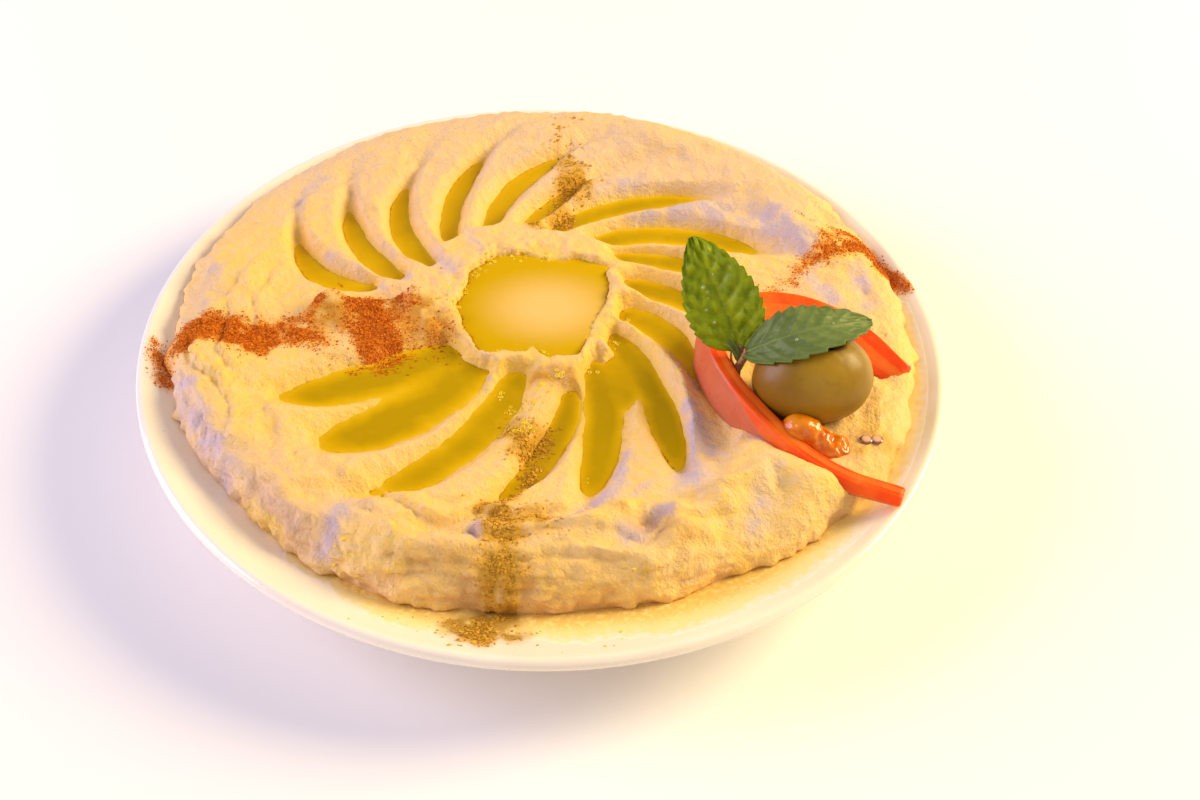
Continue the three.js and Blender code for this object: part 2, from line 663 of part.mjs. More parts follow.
function mintBody() {
  return [
    stalkBody(mint.uprightStalk, mint.stemRadius * 0.8),
    stalkBody(mint.lyingStalk, mint.stemRadius * 0.8),
    leafBody(mint.upright), leafBody(mint.lying), leafBody(mint.small),
  ].reduce((sum, piece) => sum.add(piece), stalkBody(mint.stem, mint.stemRadius));
}

// ---------------------------------------------------------------- assembly

const finishes = {
  glaze: { color: 0xf4ead8, roughness: 0.25 },
  hummus: { color: 0xeed09a, roughness: 0.6 },
  oil: { color: 0xc9a010, roughness: 0.08 },
  olive: { color: 0x76701e, roughness: 0.3 },
  tomato: { color: 0xdc4414, roughness: 0.3 },
  pulp: { color: 0xd87c12, roughness: 0.15 },
  mint: { color: 0x4c7a1e, roughness: 0.5 },
};

const dish = new THREE.Group();

function addPiece(name, shape, finish) {
  const geometry = shape instanceof THREE.BufferGeometry ? shape : geometryOf(shape);
  const material = new THREE.MeshStandardMaterial({ ...finishes[finish], metalness: 0 });
  const mesh = new THREE.Mesh(geometry, material);
  mesh.name = name;
  dish.add(mesh);
}

const bareHummus = hummusBody();
const raised = bareHummus.translate([0, 0, clearance]);
const dressedHummus = seedBodies().reduce((sum, seed) => sum.add(seed), bareHummus)
  .subtract(oliveBody(clearance)).subtract(tomatoBody(clearance))
  .subtract(stalkBody(mint.stem, mint.stemRadius + clearance, clearance));

addPiece('plate', solidOf(plateShape()), 'glaze');
addPiece('hummus', largest(dressedHummus), 'hummus');
addPiece('oil_crater', craterOil(raised), 'oil');
oilPools.forEach((name) => {
  const clear = strokeOil(name, raised).subtract(tomatoBody(clearance));
  addPiece(`oil_stroke_${name}`, largest(clear), 'oil');
});
addPiece('olive', oliveShape(), 'olive');
addPiece('tomato_wall', tomatoBody(), 'tomato');
addPiece('tomato_pulp', pulpBody(raised), 'pulp');
addPiece('mint_sprig', mintBody(), 'mint');

export default dish;
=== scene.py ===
import json
import math

import bmesh
import bpy
import numpy as np
from mathutils import Matrix, Vector
from mathutils.bvhtree import BVHTree

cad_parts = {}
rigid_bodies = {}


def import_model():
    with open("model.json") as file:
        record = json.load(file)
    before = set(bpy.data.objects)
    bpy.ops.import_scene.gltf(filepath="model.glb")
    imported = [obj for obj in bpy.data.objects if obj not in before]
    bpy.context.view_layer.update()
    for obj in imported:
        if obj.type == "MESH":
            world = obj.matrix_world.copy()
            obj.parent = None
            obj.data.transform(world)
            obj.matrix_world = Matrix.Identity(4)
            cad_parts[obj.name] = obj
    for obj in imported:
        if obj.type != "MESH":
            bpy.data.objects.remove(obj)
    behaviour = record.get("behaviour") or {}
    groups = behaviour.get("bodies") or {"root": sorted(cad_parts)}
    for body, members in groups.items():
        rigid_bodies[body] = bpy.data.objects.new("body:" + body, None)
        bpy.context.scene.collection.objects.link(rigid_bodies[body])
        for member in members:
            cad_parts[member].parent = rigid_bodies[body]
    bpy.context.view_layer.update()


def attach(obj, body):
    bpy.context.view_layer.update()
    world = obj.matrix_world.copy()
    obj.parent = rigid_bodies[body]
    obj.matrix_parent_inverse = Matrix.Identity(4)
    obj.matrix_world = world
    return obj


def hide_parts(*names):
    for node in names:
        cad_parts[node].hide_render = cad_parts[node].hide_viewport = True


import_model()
mm = 0.001  # shapes are worked out in millimetres and written in metres

# camera, lights and floor

stage = {
    "cameraAt": (0, -293.465, 289.806),
    "cameraForward": (0.03189451, 0.71208211, -0.70137138),
    "cameraUp": (-0.00838654, 0.70189435, 0.71223169),
    "lens": 53.27,
    "clipStart": 0.01,
    "floorSize": 2.4,
    "floorDrop": 0.0005,
    "floorColour": (0.93, 0.92, 0.91, 1),
    "skyColour": (0.96, 0.93, 1.0, 1),
    "skyStrength": 0.36,
    "exposure": 0.0,
}
lights = [
    {"name": "key", "at": (0.8, 0.2, 0.52), "size": 0.5, "watts": 12.4, "colour": (1, 0.81, 0.42)},
    {"name": "left", "at": (-0.95, 0.05, 0.4), "size": 0.8, "watts": 10.5,
     "colour": (0.82, 0.72, 1)},
    {"name": "front", "at": (0.1, -0.95, 0.5), "size": 0.8, "watts": 1.8, "colour": (1, 0.82, 0.6)},
]


def addCamera():
    forward = Vector(stage["cameraForward"]).normalized()
    up = Vector(stage["cameraUp"])
    right = forward.cross(up).normalized()
    up = right.cross(forward)
    data = bpy.data.cameras.new("camera")
    data.lens = stage["lens"]
    data.clip_start = stage["clipStart"]
    camera = placed("camera", data)
    turn = Matrix((right, up, -forward)).transposed().to_4x4()
    camera.matrix_world = Matrix.Translation(Vector(stage["cameraAt"]) * mm) @ turn
    bpy.context.scene.camera = camera


def addLights():
    for facts in lights:
        data = bpy.data.lights.new(facts["name"], "AREA")
        data.shape = "DISK"
        data.size = facts["size"]
        data.energy = facts["watts"]
        data.color = facts["colour"]
        lamp = placed(facts["name"], data)
        lamp.location = facts["at"]
        lamp.rotation_euler = Vector(facts["at"]).to_track_quat("Z", "Y").to_euler()
    world = bpy.data.worlds.new("sky")
    bpy.context.scene.world = world
    world.use_nodes = True
    sky = world.node_tree.nodes["Background"]
    sky.inputs["Color"].default_value = stage["skyColour"]
    sky.inputs["Strength"].default_value = stage["skyStrength"]


# helpers for shapes

def smooth(start, end, value):
    share = np.clip((value - start) / (end - start), 0, 1)
    return share * share * (3 - 2 * share)


def bell(distance, width):
    return np.exp(-(distance / width) ** 2)


def mix(a, b, share):
    return a + (b - a) * share


def turnBetween(degrees, centre):
    return (degrees - centre + 180) % 360 - 180


def turned(a, b, degrees):
    # a and b turned by an angle, from a towards b
    cosine, sine = math.cos(math.radians(degrees)), math.sin(math.radians(degrees))
    return a * cosine - b * sine, a * sine + b * cosine


def awayBy(reach, degrees):
    # x and y at a distance and an angle
    return reach * np.cos(np.radians(degrees)), reach * np.sin(np.radians(degrees))


class Grain:
    # smooth noise on a lattice of seeded random numbers, from -1 to 1
    def __init__(self, seed, cells=256):
        self.cells = cells
        self.table = np.random.default_rng(seed).uniform(-1, 1, (cells, cells, 16))

    def __call__(self, x, y, z=0.0):
        x, y, z = np.broadcast_arrays(np.asarray(x, float), y, z)
        corner = [np.floor(v).astype(int) for v in (x, y, z)]
        part = [v - c for v, c in zip((x, y, z), corner)]
        part = [p * p * (3 - 2 * p) for p in part]
        total = np.zeros(x.shape)
        for i in (0, 1):
            for j in (0, 1):
                for k in (0, 1):
                    value = self.table[(corner[0] + i) % self.cells,
                                       (corner[1] + j) % self.cells, (corner[2] + k) % 16]
                    total += (value * (part[0] if i else 1 - part[0])
                              * (part[1] if j else 1 - part[1])
                              * (part[2] if k else 1 - part[2]))
        return total


grain = Grain(11)


def layered(x, y, size, layers=3, z=0.0):
    # several sizes of noise on top of each other, each half as large and half as high
    total, height = 0, 1
    for layer in range(layers):
        total = total + height * grain(x / size + 17.3 * layer, y / size + 9.1 * layer, z)
        size, height = size / 2, height / 2
    return total


def ring(degrees, swells, level=0.0):
    # noise round a circle, which meets itself after a full turn
    turn = np.radians(degrees)
    return grain(swells * np.cos(turn) / 6.28, swells * np.sin(turn) / 6.28, level)


def placed(name, data):
    made = bpy.data.objects.new(name, data)
    bpy.context.scene.collection.objects.link(made)
    return made


def newObject(name, mesh, finish=None, replaces=()):
    piece = placed(name, mesh)
    if finish is not None:
        mesh.materials.clear()
        mesh.materials.append(finish)
    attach(piece, "root")
    if replaces:
        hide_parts(*replaces)
    return piece


def soften(mesh):
    mesh.polygons.foreach_set("use_smooth", [True] * len(mesh.polygons))


def meshOf(bm, name, shaded=True):
    mesh = bpy.data.meshes.new(name)
    bm.to_mesh(mesh)
    bm.free()
    if shaded:
        soften(mesh)
    mesh.update()
    return mesh


def coordsOf(mesh):
    co = np.empty(len(mesh.vertices) * 3)
    mesh.vertices.foreach_get("co", co)
    return co.reshape(-1, 3) / mm


def store(mesh, name, values):
    attribute = mesh.attributes.new(name, "FLOAT", "POINT")
    attribute.data.foreach_set("value", np.asarray(values, np.float32))


def sheet(bm, columns, rows):
    # a flat sheet's points, and the share of the way across and along of each
    made = bmesh.ops.create_grid(bm, x_segments=columns, y_segments=rows, size=0.5)["verts"]
    flat = np.array([v.co for v in made])
    return made, np.clip(flat[:, 0] + 0.5, 0, 1), np.clip(flat[:, 1] + 0.5, 0, 1)


def grid(columns, rows, place):
    # a sheet whose points go where place(across, along) puts them, in millimetres
    bm = bmesh.new()
    points, across, along = sheet(bm, columns, rows)
    for vertex, spot in zip(points, np.stack(place(across, along), -1) * mm):
        vertex.co = spot
    return bm


def closeHoles(bm):
    rims = [edge for edge in bm.edges if edge.is_boundary]
    return bmesh.ops.holes_fill(bm, edges=rims, sides=0)["faces"]


def secondLayer(bm):
    # points of a copy of the sheet, joined to it round its edges
    made = bmesh.ops.extrude_face_region(bm, geom=bm.faces[:], use_keep_orig=True)
    return [item for item in made["geom"] if isinstance(item, bmesh.types.BMVert)]


def weld(bm):
    bmesh.ops.remove_doubles(bm, verts=bm.verts, dist=1e-6)
    bmesh.ops.dissolve_degenerate(bm, dist=1e-8, edges=bm.edges)
    bmesh.ops.recalc_face_normals(bm, faces=bm.faces)


# helpers for finishes

class Channel:
    # one output of a finish's nodes, which can be reckoned with like a number
    def __init__(self, finish, socket):
        self.finish = finish
        self.socket = socket

    def reckon(self, operation, *values, **settings):
        return self.finish.add("Math", {"operation": operation, **settings},
                               dict(enumerate(values)))

    def __add__(self, other):
        return self.reckon("ADD", self, other)

    def __radd__(self, other):
        return self.reckon("ADD", other, self)

    def __sub__(self, other):
        return self.reckon("SUBTRACT", self, other)

    def __rsub__(self, other):
        return self.reckon("SUBTRACT", other, self)

    def __mul__(self, other):
        return self.reckon("MULTIPLY", self, other)

    def between(self, start, end):
        # 0 at start and 1 at end, smoothly
        return self.finish.add("MapRange", {"interpolation_type": "SMOOTHSTEP"},
                               {"Value": self, "From Min": start, "From Max": end})

    def kept(self):
        return self.reckon("ADD", self, 0.0, use_clamp=True)


class Finish:
    def __init__(self, name):
        self.material = bpy.data.materials.new(name)
        self.material.use_nodes = True
        self.nodes = self.material.node_tree.nodes
        self.links = self.material.node_tree.links
        self.shader = self.nodes["Principled BSDF"]

    def fill(self, node, inputs):
        for key, value in inputs.items():
            if isinstance(value, Channel):
                self.links.new(value.socket, node.inputs[key])
            elif isinstance(value, tuple) and len(value) == 3 and node.inputs[key].type == "RGBA":
                node.inputs[key].default_value = (*value, 1)
            else:
                node.inputs[key].default_value = value

    def add(self, kind, settings=None, inputs=None, output=0):
        node = self.nodes.new("ShaderNode" + kind)
        for key, value in (settings or {}).items():
            if key == "stops":
                ramp = node.color_ramp
                while len(ramp.elements) < len(value):
                    ramp.elements.new(1)
                for element, (position, colour) in zip(ramp.elements, value):
                    element.position = position
                    element.color = (*colour, 1)
            else:
                setattr(node, key, value)
        self.fill(node, inputs or {})
        return Channel(self, node.outputs[output])

    def spots(self):
        return self.add("TexCoord", output="Object")

    def reading(self, name):
        return self.add("Attribute", {"attribute_name": name}, output="Fac")

    def readings(self, *names):
        return [self.reading(name) for name in names]

    def noise(self, scale, detail=2.0, rough=0.5, at=None):
        return self.add("TexNoise", None, {"Vector": at or self.spots(), "Scale": scale,
                                           "Detail": detail, "Roughness": rough})

    def blend(self, share, first, second, how="MIX"):
        return self.add("Mix", {"data_type": "RGBA", "blend_type": how},
                        {0: share, 6: first, 7: second}, output=2)

    def bumped(self, layers):
        # layers of height over one another: strength, reach in millimetres, height
        normal = None
        for strength, reach, height in layers:
            inputs = {"Strength": strength, "Distance": reach * mm, "Height": height}
            if normal:
                inputs["Normal"] = normal
            normal = self.add("Bump", None, inputs)
        return normal

    def shade(self, **inputs):
        self.fill(self.shader, {key.replace("_", " "): value for key, value in inputs.items()})
        return self.material


print("helpers ready")
addCamera()
addLights()
bpy.context.scene.view_settings.view_transform = "Standard"
bpy.context.scene.view_settings.exposure = stage["exposure"]

# forms shared by several pieces: plate, edge of the hummus, strokes

plate = {
    "radius": 89.93, "lipHeight": 18.9, "lipRound": 1.4, "wall": 3.8, "wellRadius": 48,
    "wellHeight": 6.5, "curve": 1.8, "footOuter": 52, "footInner": 47, "footTaper": 0.8,
    "lipSlope": math.radians(27), "beyondWall": 1.03, "wallSteps": 15, "lipSteps": 12,
    "bowlSteps": 36, "turns": 256, "warmAngle": -35, "warmSpread": 45,
}
lipRadius = plate["radius"] - plate["lipRound"]
lipLevel = plate["lipHeight"] - plate["lipRound"]
wallEnd = (lipRadius - plate["lipRound"] * math.sin(plate["lipSlope"]),
           lipLevel + plate["lipRound"] * math.cos(plate["lipSlope"]))

hummus = {
    "x": -3, "y": 10.8, "field": 21.4, "bankRise": 0.9, "bankStart": 54, "bankEnd": 67,
    "craterRimRise": 0.5, "craterRimRadius": 21, "craterRimWidth": 3.2, "craterFloor": 17.6,
    "edgeLip": 0.9, "shoulder": 7, "shoulderPower": 2.2,
    # how the mesh's columns turn: degrees a millimetre, from where on and over what distance
    "columnTwist": -0.72, "twistFrom": 20, "twistReach": 40,
    # towards the near right the paste thins out gently over the plate
    "slopeWidth": 8, "slopeAngle": -56, "slopeSpread": 11,
}
outline = {
    "side": 83, "farReach": 3.8, "nearReach": -11.7, "nearPower": 1.6,
    "bulges": [(3.4, -28, 14), (3.2, -110, 19)],  # reach, angle and spread
    "ripples": [(5, 0.5, 40), (9, 0.45, 110), (17, 0.4, 200)],  # waves round, height, phase
    "farRipple": 0.3, "firstGuess": 80.0, "guesses": 8,
}
craterEdge = {
    # how far its bank reaches in and out, where the corners' round meets, how far it is evened
    "inside": 1.4, "outside": 0.8, "seam": 2, "spread": 2.5,
    # angle and distance from the middle
    "corners": [(-178, 17.3), (-163, 16.7), (-142, 17.2), (-127, 19.1), (-118, 18.9),
                (-110, 16.4), (-95, 16.7), (-88, 13.3), (-83, 16.7), (-69, 18.7), (-59, 20.3),
                (-52, 18.8), (-42, 16.7), (-26, 15.4), (-8, 15.2), (6, 17.5), (23, 19.2),
                (37, 21.7), (45, 21), (56, 20.1), (66, 16.4), (79, 16), (91, 17.1), (105, 17.7),
                (119, 18.5), (131, 18.2), (142, 18.1), (156, 16), (169, 16.1), (182, 17.3)],
}
# distances and angles are from the crater's middle, half is the half width
strokeFields = ("pool", "startReach", "startAngle", "endReach", "endAngle", "bend", "half",
                "depth")
strokes = [dict(zip(strokeFields, values)) for values in [
    ("01", 35, 169, 61, 157, 5, 5.8, 5.2), ("02", 30, 161, 57, 142, 2, 5.8, 5.2),
    ("03", 26, 147, 54, 126, 3, 5.6, 5.2), ("04", 29, 130, 57, 104, 0, 5.3, 5),
    ("05", 29, 111, 57, 85, 0, 5.8, 5.2), ("06", 29, 94, 46, 77, -1, 4.4, 4.8),
    ("07", 27, 80, 60, 44, -1, 6.4, 5.2), ("08", 27, 60, 58, 23, -1, 7.2, 5.2),
    ("09", 26, 45, 48, 11, 0, 5.8, 5), ("10", 22, 24, 41, -2, 1, 6.2, 5),
    ("11", 19, -2, 42, -28, 3, 6.8, 5), ("12_13", 18.5, -24, 59, -57, -4.5, 6.8, 5.6),
    ("12_13", 22, -41, 38, -55, 0, 7, 4.6), ("12_13", 19.5, -50, 60, -78, -2, 7.8, 5.2),
    ("14", 26, -70, 60, -96, 0, 5.8, 5), ("15", 19, -97, 70, -122, 2, 9, 5.2),
    ("16_17", 19.7, -124, 63, -136, 3, 12.6, 5.6), ("16_17", 19.7, -141, 62, -151, 0, 10.6, 5.4),
    (None, 27, -178, 70, -170, 4, 11, 2.4), (None, 38, -24, 66, -54, 0, 7, 3),
    (None, 52, 66, 74, 48, 0, 7, 1.6), (None, 56, 40, 80, 22, 0, 9, 2),
]]
strokeShape = {
    "startNarrow": 0.66, "widenBy": 0.35, "endNarrow": 0.42, "narrowing": (0.6, 1.1),
    "flare": 2.1, "flaring": (1.1, 2), "rise": (-0.5, 2.8), "clearOfCrater": 1.4,
    "fade": (0.8, 1.22), "tail": 0.14, "fanTail": 0.34, "tailEnd": (14, 3),
    "fan": ("01", "02", "03", "04", "05", "06"), "blend": 3,
    "along": (-0.2, 2.2), "bentUpTo": 1.2,
}
oilLevel = 18.4
craterOilLevel = 20.6
# folds and torn edges: points with their rise, then the widths of the gentle side and of the
# steep side, which is the left one on the way along the points
folds = [
    ([(-60, -2, 0), (-55, 3, 1.6), (-48.4, 10, 4.8), (-45, 9, 4), (-37, 9.2, 3.2),
      (-33.7, 9.8, 3.4), (-30, 11.4, 4.2), (-26.5, 9, 2.4), (-20.6, 5, 0.6)], 6.5, 2.2),
    ([(-53.9, -46, 0), (-54.8, -31.4, 0.8), (-59.7, -18, 0)], 6, 1.3),
    ([(-52.9, -30, 0), (-53.6, -37.2, 0.7), (-50.7, -44.3, 0.8), (-38, -45, 0)], 5, 1.3),
    ([(-66, 8, 0), (-67.5, 15, 0.7), (-69.4, 25, 0)], 4, 1.5),
    ([(-42.5, 43, 0), (-40.9, 44.6, 1.1), (-39, 45.5, 0)], 1.6, 1.6),
    ([(44, 61, 0), (36.4, 68.1, 1.3), (27.7, 73, 1.3), (16, 75.5, 0)], 9, 3.2),
    ([(54, 53, 0), (46, 60.5, 0.9), (38, 62, 0)], 6, 2.6),
    ([(66, 24, 0), (61.4, 32.7, 2.2), (56.5, 44.4, 2.4), (50, 59, 0)], 9, 3.4),
    ([(-3.4, -61.5, 0), (3.5, -59.4, 2.4), (11, -56.2, 3.2), (16.4, -53, 3.4), (19.4, -52.6, 0)],
     4.4, 2),
    ([(16.8, -55.4, 0), (19.6, -55.2, -1.6), (22, -54, 0)], 1.9, 1.6),
    ([(24.4, -51.5, 0), (23, -56, -1.6), (19.6, -60, -1.2), (15, -62, 0)], 2.6, 2.2),
    ([(24, -64, 0), (27.2, -57.2, 1.8), (26.9, -50, 0)], 4.4, 1.8),
    ([(31, -50.4, 0), (36.2, -48.4, 2.6), (41, -46.6, 3.2), (44.8, -43.8, 3), (47.4, -42.6, 0)],
     4.6, 2),
    ([(35, -49.6, 0), (40.7, -49, -1), (45.8, -46.6, 0)], 2.2, 1.5),
    ([(46.8, -41, 0), (47.6, -45.2, -0.9), (46, -50.4, -0.9), (42, -56.2, 0)], 3.4, 3),
    ([(47, -60, 0), (53, -51.2, 1.5), (55, -43, 0)], 5.4, 3),
    ([(26, -51, 0), (34.3, -41.5, 1.8), (40.2, -37.1, 1.8), (46.5, -32.5, 0)], 6.5, 3),
    ([(-35, -56.5, 0), (-29.8, -59.9, 2.8), (-23.1, -62.2, 3.2), (-17.2, -62.8, 3),
      (-13.5, -60.6, 0)], 4, 1.6),
    ([(-34, -54, 0), (-29, -57, -0.9), (-22, -59.2, -0.9), (-15, -59, 0)], 1.8, 1.5),
    ([(-13.6, -60, 0), (-11.6, -59.7, 2), (-9.4, -59.6, 0)], 1.9, 1.7),
    ([(-39.4, -67, 0), (-38.6, -58, -1.1), (-39.8, -49, 0)], 3, 2),
    ([(-51, -49.5, 0), (-45, -47.5, -0.8), (-38.5, -45.5, 0)], 2.6, 1.8),
    ([(-56, -32.5, 0), (-63, -35, 0.9), (-70, -37.5, 0)], 5, 2.2),
    ([(-74, -20, 0), (-70, -8, 0.7), (-72, 2, 0)], 5, 1.8),
    ([(42, -34, 0), (46, -37, 2.2), (54, -43.4, 2.2), (61.4, -48, 1.9), (67, -51, 1.7),
      (71.5, -53, 1)], 5, 3.4),
    ([(70, 25, 0), (72, 22, -1.3), (73.4, 19, 0)], 2.4, 1.6),
    ([(71.8, 20, 0), (74.3, 16, -1.2), (75, 12, 0)], 2.2, 1.5),
    ([(61.5, 24, 0), (64.1, 19.3, -1.1), (67, 14, 0)], 2.6, 1.8),
    ([(62, -2, 0), (68, -6, -1.4), (73, -10.5, -1.8), (78, -16, -0.8)], 3.4, 2.6),
]
foldReach = 2.4  # how far a fold is felt, in widths
foldSteps = 24
# middle, half length, half width, turn, rise
lumps = [
    (-42, 47, 4.5, 2, 60, 0.8), (14, -60, 9, 3.4, 12, 0.8),
    (-14, -59, 7, 3, 20, -0.8),
    (-38, -57, 9, 4, -30, 0.7), (-62, -32, 12, 5, -62, 0.6), (-66, 24, 11, 5, 65, 0.6),
    (-20, 74, 13, 3, 8, 0.6), (34, 68, 12, 4, -30, 0.8), (70, 42, 7, 3, -60, -1),
    (76, 22, 6, 2.6, -70, -1), (58, -58, 9, 4, 42, 0.5), (5, -50, 12, 2.6, 14, 0.9),
]


def plateTop(r):
    share = (r - plate["wellRadius"]) / (wallEnd[0] - plate["wellRadius"])
    share = np.clip(share, 0, plate["beyondWall"])
    return plate["wellHeight"] + (wallEnd[1] - plate["wellHeight"]) * share ** plate["curve"]


def plateReach(degrees):
    up = np.sin(np.radians(degrees))
    reach = outline["side"] + outline["farReach"] * np.maximum(0, up)
    reach = reach + outline["nearReach"] * np.maximum(0, -up) ** outline["nearPower"]
    for height, angle, spread in outline["bulges"]:
        reach = reach + height * bell(turnBetween(degrees, angle), spread)
    near = mix(outline["farRipple"], 1, np.maximum(0, -up))
    for waves, height, phase in outline["ripples"]:
        reach = reach + near * height * np.sin(np.radians(waves * degrees + phase))
    return reach


def polar(x, y):
    q = np.hypot(x - hummus["x"], y - hummus["y"])
    return q, np.degrees(np.arctan2(y - hummus["y"], x - hummus["x"]))


def fromCrater(q, degrees):
    # x and y at a distance and an angle from the crater's middle
    x, y = awayBy(q, degrees)
    return hummus["x"] + x, hummus["y"] + y


def twist(q):
    # how far the mesh's columns have turned at a distance from the crater's middle
    return hummus["columnTwist"] * np.clip(q - hummus["twistFrom"], 0, hummus["twistReach"])


def edgeReach(degrees):
    # from the crater's middle to the edge of the hummus
    reach = np.full(np.shape(degrees), outline["firstGuess"])
    for _ in range(outline["guesses"]):
        x, y = fromCrater(reach, degrees)
        reach = reach + plateReach(np.degrees(np.arctan2(y, x))) - np.hypot(x, y)
    return reach


def shoulderWidth(degrees):
    return hummus["shoulder"] + hummus["slopeWidth"] * bell(
        turnBetween(degrees, hummus["slopeAngle"]), hummus["slopeSpread"])


def craterReach(degrees):
    angles, reaches = zip(*craterEdge["corners"])
    seam, spread = craterEdge["seam"], craterEdge["spread"]
    turns = [turnBetween(degrees + aside, seam) for aside in (-spread, 0, spread)]
    return sum(np.interp(turn, np.array(angles) - seam, reaches) for turn in turns) / len(turns)


def strokePlace(stroke, q, degrees):
    # share of the stroke's length, and millimetres aside from its middle line
    length = stroke["endReach"] - stroke["startReach"]
    sweep, bend = stroke["endAngle"] - stroke["startAngle"], stroke["bend"]
    share = (q - stroke["startReach"]) / length
    along = np.clip(share, *strokeShape["along"])
    bending = np.minimum(along, strokeShape["bentUpTo"])
    centre = stroke["startAngle"] + sweep * along + 4 * bend * bending * (1 - bending)
    slope = np.radians(q * (sweep + 4 * bend * (1 - 2 * np.clip(along, 0, 1)))) / length
    aside = np.radians(q * turnBetween(degrees, centre)) / np.hypot(1, slope)
    return share, aside


def strokeHalf(stroke, share):
    shape = strokeShape
    return (stroke["half"] * mix(shape["startNarrow"], 1, smooth(0, shape["widenBy"], share))
            * (1 - shape["endNarrow"] * smooth(*shape["narrowing"], share))
            * mix(1, shape["flare"], smooth(*shape["flaring"], share)))


def strokeDepth(stroke, q, degrees, edge):
    share, aside = strokePlace(stroke, q, degrees)
    shape = strokeShape
    across = np.maximum(0, 1 - (aside / strokeHalf(stroke, share)) ** 2) ** 2
    nearest = np.maximum(stroke["startReach"], craterReach(degrees) + shape["clearOfCrater"])
    start = smooth(*shape["rise"], q - nearest)
    tail = shape["fanTail"] if stroke["pool"] in shape["fan"] else shape["tail"]
    tail = tail * (1 - smooth(*(edge - aside for aside in shape["tailEnd"]), q))
    return stroke["depth"] * across * start * mix(1, tail, smooth(*shape["fade"], share))


def curveThrough(points, step=60):
    # a centripetal curve through the points, read at even steps of its length
    points = np.array(points, float)
    points = np.vstack([2 * points[0] - points[1], points, 2 * points[-1] - points[-2]])
    found = []
    for a, b, c, d in zip(points, points[1:], points[2:], points[3:]):
        knots = np.cumsum([0] + [np.linalg.norm(q - p) ** 0.5 for p, q in ((a, b), (b, c), (c, d))])
        t = np.linspace(knots[1], knots[2], step)[:, None]
        k0, k1, k2, k3 = knots
        ab = (k1 - t) / (k1 - k0) * a + (t - k0) / (k1 - k0) * b
        bc = (k2 - t) / (k2 - k1) * b + (t - k1) / (k2 - k1) * c
        cd = (k3 - t) / (k3 - k2) * c + (t - k2) / (k3 - k2) * d
        abc = (k2 - t) / (k2 - k0) * ab + (t - k0) / (k2 - k0) * bc
        bcd = (k3 - t) / (k3 - k1) * bc + (t - k1) / (k3 - k1) * cd
        found.append((k2 - t) / (k2 - k1) * abc + (t - k1) / (k2 - k1) * bcd)
    found = np.vstack(found)
    along = np.r_[0, np.cumsum(np.linalg.norm(np.diff(found, axis=0), axis=1))]
    share = along / along[-1]
    return lambda s: np.stack([np.interp(s, share, found[:, i]) for i in range(3)], -1)


def foldRise(x, y):
    total = np.zeros(np.shape(x))
    for points, gentle, steep in folds:
        line = curveThrough(points)(np.linspace(0, 1, foldSteps))
        reach = foldReach * max(gentle, steep)
        inside = ((x > line[:, 0].min() - reach) & (x < line[:, 0].max() + reach)
                  & (y > line[:, 1].min() - reach) & (y < line[:, 1].max() + reach))
        px, py = x[inside], y[inside]
        nearest, rise, side = np.full(px.shape, 1e9), np.zeros(px.shape), np.zeros(px.shape)
        for (ax, ay, aRise), (bx, by, bRise) in zip(line, line[1:]):
            dx, dy = bx - ax, by - ay
            share = np.clip(((px - ax) * dx + (py - ay) * dy) / (dx * dx + dy * dy), 0, 1)
            away = np.hypot(px - ax - dx * share, py - ay - dy * share)
            closer = away < nearest
            nearest = np.where(closer, away, nearest)
            rise = np.where(closer, mix(aRise, bRise, share), rise)
            side = np.where(closer, dx * (py - ay) - dy * (px - ax), side)
        total[inside] += rise * bell(nearest, np.where(side > 0, steep, gentle))
    return total


def lumpRise(x, y):
    rise = 0
    for cx, cy, halfLength, halfWidth, turn, height in lumps:
        along, across = turned(x - cx, y - cy, -turn)
        rise = rise + height * bell(along, halfLength) * bell(across, halfWidth)
    return rise


relief = {
    "soft": 0.42, "softSize": 12,
    "small": 0.3, "smallSize": 4,
    "fine": 0.12, "fineSize": 1.4,
    "spoonLines": 0.12, "spoonLineWidth": 0.9, "spoonLineStart": (24, 32),
    "rim": 0.7, "rimSize": 3, "rimRadius": 21, "rimWidth": 5,
    # along the near bank, with the distances from the edge between which it grows
    "strata": 0.5, "strataLength": 11, "strataWidth": 2.4, "strataStart": (24, 12),
    "ledge": 2.2, "ledgeWidth": 6, "ledgeRise": 0.22, "rough": 0.55, "roughSize": 2.4,
    "ledgeStart": (27, 15),
    # on the side face
    "ragged": 0.8, "knobs": 1.5, "knobSize": 2.7, "footWobble": 1.2, "footHeight": 2,
    "nearAngle": -120, "nearSpread": 54, "nearGain": 1.6, "farShare": 0.25,
}


def nearness(degrees):
    # the paste is roughest towards the near side and the near left
    near = bell(turnBetween(degrees, relief["nearAngle"]), relief["nearSpread"])
    return mix(relief["farShare"], 1, np.clip(relief["nearGain"] * near, 0, 1))


